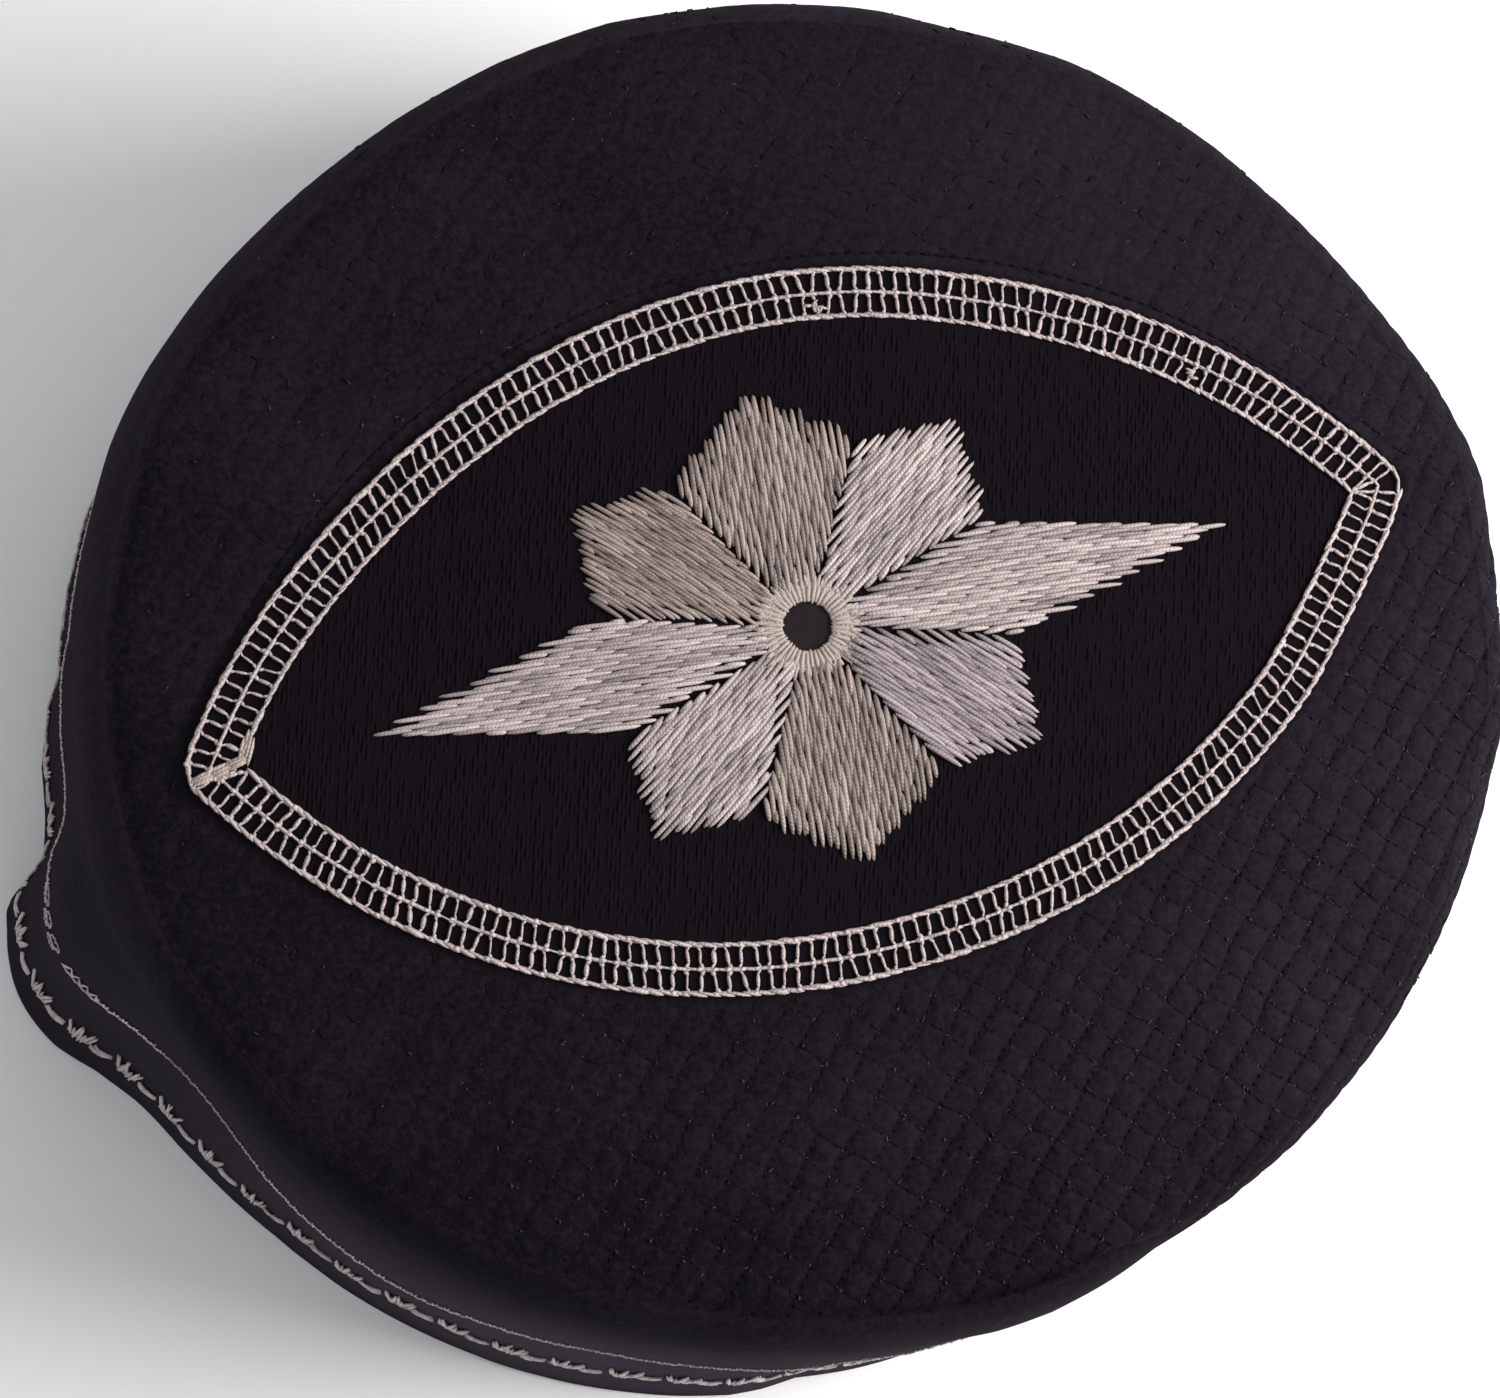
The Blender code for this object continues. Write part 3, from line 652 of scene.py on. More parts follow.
def makeStitchTree():
    tree = bpy.data.node_groups.new("stitchMaker", "GeometryNodeTree")
    tree.interface.new_socket("Geometry", in_out="INPUT", socket_type="NodeSocketGeometry")
    for name, kind, usual in stitchInputs:
        socket = tree.interface.new_socket(name, in_out="INPUT", socket_type="NodeSocket" + kind)
        if usual is not None:
            socket.default_value = usual
    tree.interface.new_socket("Geometry", in_out="OUTPUT", socket_type="NodeSocketGeometry")
    wire = Wire(tree)
    given = wire.node("NodeGroupInput", {}, {}, "Geometry")

    def spread(number):  # an even spread from -1 to 1, one value for each stitch
        inputs = {"Min_001": -1.0, "Max_001": 1.0, "Seed": given.out("Seed") + float(number)}
        return wire.node("FunctionNodeRandomValue", {"data_type": "FLOAT"}, inputs, "Value_001")

    def vector(operation, first, second):
        return wire.node("ShaderNodeVectorMath", {"operation": operation}, {0: first, 1: second}, "Vector")

    def scaled(direction, amount):
        return wire.node("ShaderNodeVectorMath", {"operation": "SCALE"}, {0: direction, "Scale": amount}, "Vector")

    def stored(geometry, name, kind, value, domain="POINT"):
        settings = {"data_type": kind, "domain": domain}
        return wire.node(
            "GeometryNodeStoreNamedAttribute", settings, {"Geometry": geometry, "Name": name, "Value": value})

    def named(name, kind):
        return wire.node("GeometryNodeInputNamedAttribute", {"data_type": kind}, {"Name": name}, "Attribute")

    # One stitch of length, width and height 1: it has rounded ends that dive into the cloth
    line = wire.node("GeometryNodeCurvePrimitiveLine", {}, {"Start": (-0.5, 0.0, 0.0), "End": (0.5, 0.0, 0.0)})
    line = wire.node("GeometryNodeResampleCurve", {}, {"Curve": line, "Count": given.out("Segments") + 1.0})
    factor = wire.node("GeometryNodeSplineParameter", {}, {}, "Factor")
    line = stored(line, "alongThread", "FLOAT", ((factor - 0.5) * math.pi).math("SINE"))
    half = named("alongThread", "FLOAT")
    ends = half * half
    level = 0.5 - ends * ends * given.out("End Dip")
    place = wire.node("ShaderNodeCombineXYZ", {}, {"X": half * 0.5, "Z": level})
    line = wire.node("GeometryNodeSetPosition", {}, {"Geometry": line, "Position": place})
    around = wire.node(
        "GeometryNodeCurvePrimitiveCircle", {}, {"Resolution": given.out("Sides"), "Radius": 0.5}, "Curve")
    around = stored(around, "aroundThread", "FLOAT", wire.node("GeometryNodeSplineParameter", {}, {}, "Factor"))
    thickness = (1.03 - ends * ends * ends * given.out("End Taper")).math("SQRT")
    inputs = {"Curve": line, "Profile Curve": around, "Scale": thickness, "Fill Caps": True}
    stitch = wire.node("GeometryNodeCurveToMesh", {}, inputs)
    stitch = wire.node("GeometryNodeSetShadeSmooth", {}, {"Geometry": stitch})

    # One point for each edge, turned along it and up from the cloth
    ends = wire.node("GeometryNodeInputMeshEdgeVertices", {}, {}, "Position 1")
    run = vector("SUBTRACT", ends.out("Position 2"), ends)
    sites = stored(given, "run", "FLOAT_VECTOR", run, "EDGE")
    sites = wire.node("GeometryNodeMeshToPoints", {"mode": "EDGES"}, {"Mesh": sites})
    run = named("run", "FLOAT_VECTOR")
    up = named("up", "FLOAT_VECTOR")
    sideways = vector("CROSS_PRODUCT", up, run)
    side = wire.node("ShaderNodeVectorMath", {"operation": "NORMALIZE"}, {0: sideways}, "Vector")
    run = vector("ADD", run, scaled(side, spread(1) * given.out("Side Jitter")))
    length = wire.node("ShaderNodeVectorMath", {"operation": "LENGTH"}, {0: run}, "Value")
    lift = scaled(up, spread(2) * given.out("Lift Jitter"))
    sites = wire.node("GeometryNodeSetPosition", {}, {"Geometry": sites, "Offset": lift})
    turn = wire.node("FunctionNodeAlignRotationToVector", {"axis": "X"}, {"Vector": run})
    turn = wire.node(
        "FunctionNodeAlignRotationToVector", {"axis": "Z", "pivot_axis": "X"}, {"Rotation": turn, "Vector": up})
    width = given.out("Width") * named("thick", "FLOAT") * (spread(3) * given.out("Width Jitter") + 1.0)
    size = wire.node(
        "ShaderNodeCombineXYZ", {}, {"X": length + given.out("Overlap"), "Y": width, "Z": given.out("Height")})
    sites = stored(sites, "reach", "FLOAT", length)
    sites = stored(sites, "tone", "FLOAT", named("tone", "FLOAT") + spread(4) * given.out("Tone Jitter"))
    inputs = {"Points": sites, "Instance": stitch, "Rotation": turn, "Scale": size}
    made = wire.node("GeometryNodeInstanceOnPoints", {}, inputs)
    made = wire.node("GeometryNodeRealizeInstances", {}, {"Geometry": made})
    twist = named("alongThread", "FLOAT") * named("reach", "FLOAT") / given.out("Twist Pitch")
    made = stored(made, "twist", "FLOAT", twist + named("aroundThread", "FLOAT") * 2.0)
    made = wire.node("GeometryNodeSetMaterial", {}, {"Geometry": made, "Material": given.out("Material")})
    wire.node("NodeGroupOutput", {}, {"Geometry": made})
    return tree


stitchTree = makeStitchTree()


# A growing list of stitches, each with its two ends, the way up, its thickness and its tone
class Stitches:
    def __init__(self):
        self.ends = []
        self.ups = []
        self.thick = []
        self.tone = []

    def add(self, starts, stops, ups, thick=1.0, tone=0.0):
        starts = np.atleast_2d(starts)
        stops = np.atleast_2d(stops)
        count = len(starts)
        self.ends.append(np.stack([starts, stops], axis=1))
        self.ups.append(np.broadcast_to(ups, (count, 3)))
        self.thick.append(np.broadcast_to(thick, count))
        self.tone.append(np.broadcast_to(tone, count))

    def addOnCrown(self, starts, stops, lift, thick=1.0, tone=0.0):  # ends are x, y of the hat
        starts = np.atleast_2d(np.asarray(starts, float))
        stops = np.atleast_2d(np.asarray(stops, float))
        first, up = crownPlaces(starts[:, 0], starts[:, 1], lift)
        second, other = crownPlaces(stops[:, 0], stops[:, 1], lift)
        self.add(first, second, up + other, thick, tone)

    def sew(self, name, values, material):
        ends = np.concatenate(self.ends)
        count = len(ends)
        sites = bpy.data.meshes.new(name + "Sites")
        sites.vertices.add(2 * count)
        sites.vertices.foreach_set("co", ends.astype(np.float32).ravel())
        sites.edges.add(count)
        sites.edges.foreach_set("vertices", np.arange(2 * count, dtype=np.int32))
        for label, kind, field, data in (
            ("up", "FLOAT_VECTOR", "vector", self.ups),
            ("thick", "FLOAT", "value", self.thick),
            ("tone", "FLOAT", "value", self.tone),
        ):
            attribute = sites.attributes.new(label, kind, "EDGE")
            attribute.data.foreach_set(field, np.concatenate(data).astype(np.float32).ravel())
        holder = bpy.data.objects.new(name + "Sites", sites)
        bpy.context.scene.collection.objects.link(holder)
        modifier = holder.modifiers.new("stitches", "NODES")
        modifier.node_group = stitchTree
        given = dict(values, Material=material)
        for item in stitchTree.interface.items_tree:
            if item.in_out == "INPUT" and item.name in given:
                modifier[item.identifier] = given[item.name]
        graph = bpy.context.evaluated_depsgraph_get()
        mesh = bpy.data.meshes.new_from_object(
            holder.evaluated_get(graph), preserve_all_data_layers=True, depsgraph=graph)
        mesh.name = name
        bpy.data.objects.remove(holder)
        bpy.data.meshes.remove(sites)
        for extra in ("up", "thick", "run", "reach", "alongThread", "aroundThread"):
            if extra in mesh.attributes:
                mesh.attributes.remove(mesh.attributes[extra])
        piece = bpy.data.objects.new(name, mesh)
        bpy.context.scene.collection.objects.link(piece)
        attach(piece, "root")
        print("sewn", name, count, "stitches,", sum(len(face.vertices) - 2 for face in mesh.polygons), "triangles")
        return piece


def meshPiece(name, points, faces, material):
    points = np.asarray(points, float)
    mesh = bpy.data.meshes.new(name)
    mesh.from_pydata(points.tolist(), [], faces)
    mesh.shade_smooth()
    mesh.materials.append(material)
    volume = 0.0
    for face in faces:
        if len(face) > 2:
            volume += points[face[0]] @ np.cross(points[face[1]], points[face[2]])
    if volume < 0:
        mesh.flip_normals()
    piece = bpy.data.objects.new(name, mesh)
    bpy.context.scene.collection.objects.link(piece)
    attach(piece, "root")
    print("made", name, len(mesh.polygons), "faces")
    return piece


def sharpen(piece, ring):  # keeps a hard crease along a ring, so that the wall below doesn't tint the cloth above
    mesh = piece.data
    inRing = np.zeros(len(mesh.vertices), bool)
    inRing[ring] = True
    ends = np.zeros(2 * len(mesh.edges), np.int64)
    mesh.edges.foreach_get("vertices", ends)
    sharp = inRing[ends].reshape(-1, 2).all(axis=1)
    attribute = mesh.attributes.new("sharp_edge", "BOOLEAN", "EDGE")
    attribute.data.foreach_set("value", sharp)


def storeValues(piece, name, values):
    attribute = piece.data.attributes.new(name, "FLOAT", "POINT")
    attribute.data.foreach_set("value", np.asarray(values, np.float32))


def bridgeRings(first, second):  # quads between two rings of equal length
    count = len(first)
    return [(first[i], first[(i + 1) % count], second[(i + 1) % count], second[i]) for i in range(count)]


def walkEdge(faces):  # the open edge of a grid of quads, as one ordered ring
    quads = np.array(faces)
    edges = np.concatenate([quads[:, [0, 1]], quads[:, [1, 2]], quads[:, [2, 3]], quads[:, [3, 0]]])
    ordered, where, uses = np.unique(np.sort(edges, axis=1), axis=0, return_index=True, return_counts=True)
    after = {int(a): int(b) for a, b in edges[where[uses == 1]]}
    ring = [next(iter(after))]
    while after[ring[-1]] != ring[0]:
        ring.append(after[ring[-1]])
    return ring


def zipRings(points, fine, coarse):  # triangles between two rings of unequal length, both counterclockwise
    def turned(ring):
        angles = np.array([math.atan2(points[i][1], points[i][0]) for i in ring])
        start = int(np.argmin(angles))
        ring = ring[start:] + ring[:start]
        angles = np.maximum.accumulate(np.roll(angles, -start))
        return ring + ring[:1], np.append(angles, angles[0] + math.tau)

    fine, fineAngles = turned(fine)
    coarse, coarseAngles = turned(coarse)
    faces = []
    i = j = 0
    while i < len(fine) - 1 or j < len(coarse) - 1:
        canFine = i < len(fine) - 1
        canCoarse = j < len(coarse) - 1
        if canFine and (not canCoarse or fineAngles[i + 1] <= coarseAngles[j + 1]):
            faces.append((fine[i], fine[i + 1], coarse[j]))
            i += 1
        else:
            faces.append((fine[i], coarse[j + 1], coarse[j]))
            j += 1
    return faces


def makeCrown(material):
    steps = quilt["steps"]
    count = int(quilt["meshHalf"] / quilt["pitchU"] * steps)
    index = np.arange(-count, count + 1) / steps
    u, v = np.meshgrid(index, index, indexing="ij")
    x, y = quiltXY(u, v)
    azimuth = np.arctan2(y, x)
    radius = np.hypot(x, y)
    edge = crownRadius(azimuth) + hatForm["gap"]  # sewn edge to edge with the band
    inside = radius < edge - 0.12 * mm
    keep = inside[:-1, :-1] | inside[1:, :-1] | inside[1:, 1:] | inside[:-1, 1:]
    x = np.where(inside, x, edge * np.cos(azimuth))  # points past the outline are drawn in onto it
    y = np.where(inside, y, edge * np.sin(azimuth))
    number = np.arange(u.size).reshape(u.shape)
    corners = [number[:-1, :-1], number[1:, :-1], number[1:, 1:], number[:-1, 1:]]
    quads = np.stack([corner[keep] for corner in corners], axis=1)
    used, packed = np.unique(quads, return_inverse=True)
    quads = packed.reshape(quads.shape)
    x = x.ravel()[used]
    y = y.ravel()[used]
    points = np.stack([x, y, crownHeight(x, y)], axis=1).tolist()
    faces = [tuple(quad) for quad in quads.tolist()]
    rim = walkEdge(faces)

    # The cut edge and the plain underside
    turns = np.arange(quilt["edgeTurns"]) * math.tau / quilt["edgeTurns"] - math.pi
    fall = hatForm["topHeight"] - hatForm["seamHeight"]
    rings = []
    for share, drop in crownUnderside:
        reach = (crownRadius(turns) + 0.9 * hatForm["gap"]) * share
        level = hatForm["topHeight"] - fall * share ** hatForm["crownCurve"] - drop * mm
        start = len(points)
        points += atAzimuth(reach, turns, level).tolist()
        rings.append(list(range(start, start + len(turns))))
    faces += zipRings(points, rim, rings[0])
    for upper, lower in zip(rings, rings[1:]):
        faces += [tuple(reversed(face)) for face in bridgeRings(upper, lower)]
    points.append([0.0, 0.0, hatForm["topHeight"] - quilt["thickness"]])
    last = rings[-1]
    faces += [(last[(i + 1) % len(last)], last[i], len(points) - 1) for i in range(len(last))]
    crown = meshPiece("quilted_crown", points, faces, material)
    sharpen(crown, rim)
    flat = np.array(points)
    storeValues(crown, "quilted", ease(lensDistance(flat[:, 0], flat[:, 1]), 0.0, 0.8 * mm))
    azimuth = np.arctan2(flat[:, 1], flat[:, 0])
    toSeam = crownRadius(azimuth) + seamTravel(azimuth) - np.hypot(flat[:, 0], flat[:, 1])
    # painted shade along the seam, darkest where the seam is drawn in deepest
    storeValues(crown, "seamLine", seamDepth(azimuth) ** 2 * hill(toSeam, 0.7 * mm))
    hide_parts("crown")


# The side band: its cut is followed from the seam over the shoulder, down the outside, round the rim and up inside
band = {
    "turns": 960,
    "rollRows": 27,
    "wallRows": 42,
    "rimRows": 6,
    "insideRows": 11,
    "unevenness": 0.16 * mm,
    "rowPull": 0.14 * mm,
    "rimChamfer": 1.3 * mm,
    # Painted sheen on the wall: the azimuth where it is strongest, how far round it spreads in degrees, and how much of
    # it lies all round
    "paintedSheenMiddle": 238.0,
    "paintedSheenHalfWidth": 28.0,
    "paintedSheenLeast": 0.13,
    "clothLength": 590.0,  # millimetres round the wall, for the weave
}


def wallDetail(azimuth, height):  # small unevenness of the stiffened cloth, outwards
    wave = np.sin(azimuth * 9 + height / 0.011) * np.sin(azimuth * 5 - height / 0.017 + 1.0)
    wave = wave + 0.6 * np.sin(azimuth * 23 + 2.0) * np.sin(height / 0.008 + azimuth * 11)
    pull = hill(height - 50.0 * mm, 3.5 * mm) + hill(height - 13.5 * mm, 5.0 * mm)
    return band["unevenness"] * wave - band["rowPull"] * pull


def bandPlaces(azimuth, height, lift=0.0):  # points on the outside of the wall, with their normals
    def place(a, h):
        radius = wallRadius(a, h) + wallDetail(a, h)
        return atAzimuth(radius, a, h)

    azimuth, height = np.broadcast_arrays(np.asarray(azimuth, float), np.asarray(height, float))
    step = 0.0015
    sideways = place(azimuth + step, height) - place(azimuth - step, height)
    upwards = place(azimuth, height + 0.2 * mm) - place(azimuth, height - 0.2 * mm)
    normal = unit(np.cross(sideways, upwards))
    return place(azimuth, height) + normal * np.asarray(lift)[..., None], normal


def makeBand(material):
    turns = np.arange(band["turns"]) * math.tau / band["turns"]
    wallLength = hatForm["shoulderHeight"] - band["rimChamfer"]
    travels = np.concatenate([
        np.linspace(0.0, rollLength, band["rollRows"]),
        rollLength + np.linspace(0.0, wallLength, band["wallRows"] + 1)[1:],
    ])
    rings = []
    quilted = []
    seamLine = []
    paleness = []
    for travel in travels:  # down the outside
        place, normal = rollPlaces(turns, travel)
        height = place[:, 2]
        relief = rollRelief(turns, travel) + wallDetail(turns, height) * ease(travel, 0.0, 5.0 * mm)
        rings.append(place + normal * relief[:, None])
        quilted.append(ease(seamTravel(turns) - travel, 0.0, 0.6 * mm))
        # painted shade along the seam on the roll
        seamLine.append(seamDepth(turns) ** 2 * hill(seamTravel(turns) - travel, 0.5 * mm))
        # painted sheen, strongest in front on the left, weaker all round, from the rim up to the upper row
        side = hill(angleFrom(turns, band["paintedSheenMiddle"]), band["paintedSheenHalfWidth"])
        side = band["paintedSheenLeast"] + (1.0 - band["paintedSheenLeast"]) * side
        paleness.append(side * ease(height, 0.0, 5.0 * mm) * (1 - ease(height, 50.0 * mm, 80.0 * mm)))
    rows = []
    half = hatForm["wall"] / 2
    for turn in np.linspace(0.0, math.pi, band["rimRows"] + 2)[1:-1]:
        rows.append((half - half * math.cos(turn), band["rimChamfer"] * (1 - math.sin(turn))))
    for height in np.linspace(band["rimChamfer"], hatForm["shoulderHeight"], band["insideRows"]):
        rows.append((hatForm["wall"], height))
    for turn in np.linspace(math.pi / 2, seamTurn, 7)[1:-1]:
        inset = hatForm["rollWidth"] * (1 - math.sin(turn)) + hatForm["wall"] * math.sin(turn)
        rows.append((inset, hatForm["shoulderHeight"] + (hatForm["rollRise"] - hatForm["wall"]) * math.cos(turn)))
    rows.append((seamInset, hatForm["seamHeight"] - hatForm["wall"]))
    for inset, height in rows:  # round the rim and up inside
        radius = wallRadius(turns, height) - inset
        rings.append(atAzimuth(radius, turns, height))
        for values in (quilted, seamLine, paleness):
            values.append(np.zeros_like(turns))
    count = band["turns"]
    numbers = [list(range(row * count, (row + 1) * count)) for row in range(len(rings))]
    faces = []
    for row, ring in enumerate(numbers):
        faces += bridgeRings(ring, numbers[(row + 1) % len(numbers)])
    piece = meshPiece("side_band_cloth", np.concatenate(rings), faces, material)
    sharpen(piece, numbers[0])
    for name, values in (("quilted", quilted), ("seamLine", seamLine), ("paleness", paleness)):
        storeValues(piece, name, np.concatenate(values))
    mesh = piece.data
    vertex = np.zeros(len(mesh.loops), np.int64)
    mesh.loops.foreach_get("vertex_index", vertex)
    column, row = vertex % count, vertex // count
    middles = np.array([(np.hypot(ring[:, 0], ring[:, 1]).mean(), ring[:, 2].mean()) for ring in rings])
    steps = np.linalg.norm(np.diff(middles, axis=0), axis=1)
    down = np.concatenate([[0.0], np.cumsum(steps)])[row]
    reach = (crownRadius(turns) + hatForm["gap"])[column] + down
    face = np.repeat(np.arange(len(mesh.polygons)), 4)
    atEnd = (np.bincount(face, column == count - 1) > 0)[face]
    wraps = atEnd & (column == 0)
    cloth = np.stack([np.where(wraps, count, column) * (band["clothLength"] / count), down / mm], axis=1)
    plan = np.stack([reach * np.cos(turns[column]), reach * np.sin(turns[column])], axis=1)
    for name, uv in (("cloth", cloth), ("plan", plan)):
        mesh.uv_layers.new(name=name).data.foreach_set("uv", uv.astype(np.float32).ravel())
    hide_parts("side_band")


# Black stitches along the quilting's lines
def sewQuilting(material):
    sewn = Stitches()
    rng = np.random.default_rng(17)
    perSide = quilt["stitchesPerSide"]
    count = int(quilt["sewnHalf"] / quilt["pitchU"])
    lines = np.arange(-count, count + 1)
    starts = np.arange(-count * perSide, count * perSide) / perSide
    line, start = np.meshgrid(lines, starts, indexing="ij")
    line, start = line.ravel().astype(float), start.ravel()
    inset = 0.18 / perSide
    for acrossIsU in (True, False):
        places = (start + inset, start + 1 / perSide - inset)
        first, second = [quiltXY(line, place) if acrossIsU else quiltXY(place, line) for place in places]
        middleX = (first[0] + second[0]) / 2
        middleY = (first[1] + second[1]) / 2
        azimuth = np.arctan2(middleY, middleX)
        room = crownRadius(azimuth) - np.hypot(middleX, middleY)
        keep = (room + seamTravel(azimuth) > 1.1 * mm) & (lensDistance(middleX, middleY) > 1.3 * mm)
        fullness = quiltFullness(middleX, middleY)
        inMiddle = np.round((start % 1.0) * perSide) == 1
        # most stitches sink into the cloth's flat side, and so do those in the middle of a pad's side
        chance = np.where(inMiddle, 0.45, 0.9) * (0.35 + 0.65 * fullness) * (0.7 if acrossIsU else 1.0)
        keep &= (np.abs(room) > 0.6 * mm) & (rng.random(room.size) < chance)
        sewn.addOnCrown(
            np.stack(first, axis=1)[keep], np.stack(second, axis=1)[keep], -0.16 * mm, 0.65 if acrossIsU else 1.0)
    sizes = {"Width": 0.34 * mm, "Height": 0.26 * mm, "End Dip": 0.8, "Sides": 4, "Segments": 3,
             "Side Jitter": 0.18 * mm, "Lift Jitter": 0.06 * mm, "Seed": 11}
    piece = sewn.sew("quilting_stitches", sizes, material)


# The knots' thread is coloured far lighter than the black thread: painted glints on the tangles, with more of them
# towards the front right.
def sewKnots(material):  # small shiny tangles of thread where the sewn lines cross
    sewn = Stitches()
    rng = np.random.default_rng(19)
    count = int(quilt["sewnHalf"] / quilt["pitchU"])
    lines = np.arange(-count, count + 1).astype(float)
    u, v = np.meshgrid(lines, lines, indexing="ij")
    u, v = np.repeat(u.ravel(), 3), np.repeat(v.ravel(), 3)
    x, y = quiltXY(u + rng.normal(0, 0.06, u.size), v + rng.normal(0, 0.14, u.size))
    azimuth = np.arctan2(y, x)
    room = crownRadius(azimuth) - np.hypot(x, y)
    keep = (room + seamTravel(azimuth) > 1.3 * mm) & (lensDistance(x, y) > 1.6 * mm) & (np.abs(room) > 0.8 * mm)
    keep &= (room > -4.0 * mm) & (rng.random(u.size) < 0.12 + 0.75 * quiltFullness(x, y))
    angle = rng.uniform(0, math.pi, u.size)
    way = headings(angle) * rng.uniform(0.16, 0.36, u.size)[:, None] * mm
    middle = np.stack([x, y], axis=1)
    sewn.addOnCrown((middle - way)[keep], (middle + way)[keep], -0.04 * mm)
    sizes = {"Width": 0.26 * mm, "Height": 0.28 * mm, "End Dip": 0.7, "Sides": 4, "Segments": 2,
             "Width Jitter": 0.3, "Lift Jitter": 0.05 * mm, "Tone Jitter": 1.0, "Seed": 13}
    piece = sewn.sew("quilting_knots", sizes, material)


# The black fill inside the lens: long rows of short stitches
field = {
    "turn": math.radians(73.0),
    "rowPitch": 0.52 * mm,
    "stitch": 2.7 * mm,
    "lift": -0.05 * mm,
    "middleHole": 3.0 * mm,
    "halfLength": 80.0 * mm,  # the rows are sewn this far each way, then cut to the lens
    "halfWidth": 60.0 * mm,
    "rowShift": 0.37,  # of a stitch, from one row to the next
}


def starToHat(x, y):
    return x + hatForm["starX"], y + hatForm["starY"]


def sewField(material):
    sewn = Stitches()
    rng = np.random.default_rng(21)
    alongX, alongY = math.cos(field["turn"]), math.sin(field["turn"])
    rows = int(field["halfLength"] / field["rowPitch"])
    perRow = int(field["halfWidth"] / field["stitch"]) + 1
    row, number = np.meshgrid(np.arange(-rows, rows + 1), np.arange(-perRow, perRow + 1), indexing="ij")
    row, number = row.ravel(), number.ravel()
    shift = (row * field["rowShift"]) % 1.0
    begin = (number + shift + rng.uniform(-0.08, 0.08, row.size)) * field["stitch"]
    end = begin + field["stitch"] * rng.uniform(0.97, 1.06, row.size)
    across = row * field["rowPitch"] + rng.normal(0, 0.03 * mm, row.size)
    firstX, firstY = begin * alongX - across * alongY, begin * alongY + across * alongX
    lastX, lastY = end * alongX - across * alongY, end * alongY + across * alongX
    inner = -lens["borderWidth"] - 0.2 * mm
    keep = np.ones(row.size, bool)
    for x, y in ((firstX, firstY), (lastX, lastY)):
        hatX, hatY = starToHat(x, y)
        keep &= lensDistance(hatX, hatY) < inner
        keep &= np.hypot(x, y) > field["middleHole"]
    first = np.stack(starToHat(firstX, firstY), axis=1)[keep]
    last = np.stack(starToHat(lastX, lastY), axis=1)[keep]
    sewn.addOnCrown(first, last, field["lift"])
    sizes = {"Width": 0.62 * mm, "Height": 0.10 * mm, "End Dip": 0.5, "End Taper": 0.5, "Sides": 4, "Segments": 2,
             "Side Jitter": 0.06 * mm, "Lift Jitter": 0.02 * mm, "Overlap": 0.5 * mm, "Seed": 23}
    piece = sewn.sew("field_stitches", sizes, material)


# The ladder round the lens
ladder = {
    "cells": 106,
    "outerInset": 0.5 * mm,
    "innerInset": 6.5 * mm,
    "tipLeft": -77.3 * mm,
    "tipRight": 78.6 * mm,
    "lift": 0.14 * mm,
    "hook": 0.2,  # of a cell, how far a rung's ends bend towards the neighbour it joins
    "slant": 0.028,  # of the ladder's width, between the two ends of a rail's stitch
    "overlap": 0.12,  # of a cell
    "shake": 0.05,  # of a cell
    "outlineOffset": 1.9 * mm,
}
ladderStitch = {
    "Width": 0.54 * mm, "Height": 0.36 * mm, "End Dip": 0.55, "Sides": 6, "Segments": 3, "Width Jitter": 0.25,
    "Side Jitter": 0.08 * mm, "Lift Jitter": 0.04 * mm, "Overlap": 0.05 * mm,
}
# How far the rungs lean, in cells for each row: angle along the arc, upper arc, lower arc
rungLean = np.array((
    (-60, 0.12, 0.10), (-48, 0.00, -0.15), (-38, -0.33, -0.20), (-26, -0.30, -0.15), (-12, 0.00, -0.08),
    (8, 0.05, 0.15), (30, 0.10, 0.22), (45, -0.12, 0.10), (60, 0.00, 0.00),
))


def ladderPoints(side, angle, share):  # share 0 is the outer rail, 1 the inner; side 1 is the upper arc
    drift = arcDrift(angle, side)
    outerRadius = arcRadius - ladder["outerInset"] + drift
    innerRadius = arcRadius - ladder["innerInset"] + drift
    outerX, outerY = outerRadius * np.sin(angle), outerRadius * np.cos(angle) - arcDrop
    innerX, innerY = innerRadius * np.sin(angle), innerRadius * np.cos(angle) - arcDrop
    cornerX = np.sqrt(innerRadius ** 2 - arcDrop ** 2)
    fans = (innerY < 0) & (angle > 0)  # at the right tip the rungs fan out from the inner corner
    innerX = np.where(fans, cornerX, innerX)
    innerY = np.where(fans, 0.0, innerY)
    x = np.clip(outerX + (innerX - outerX) * share, ladder["tipLeft"], ladder["tipRight"])
    y = outerY + (innerY - outerY) * share
    return np.stack(starToHat(x, side * np.maximum(y, 0.0)), axis=-1)


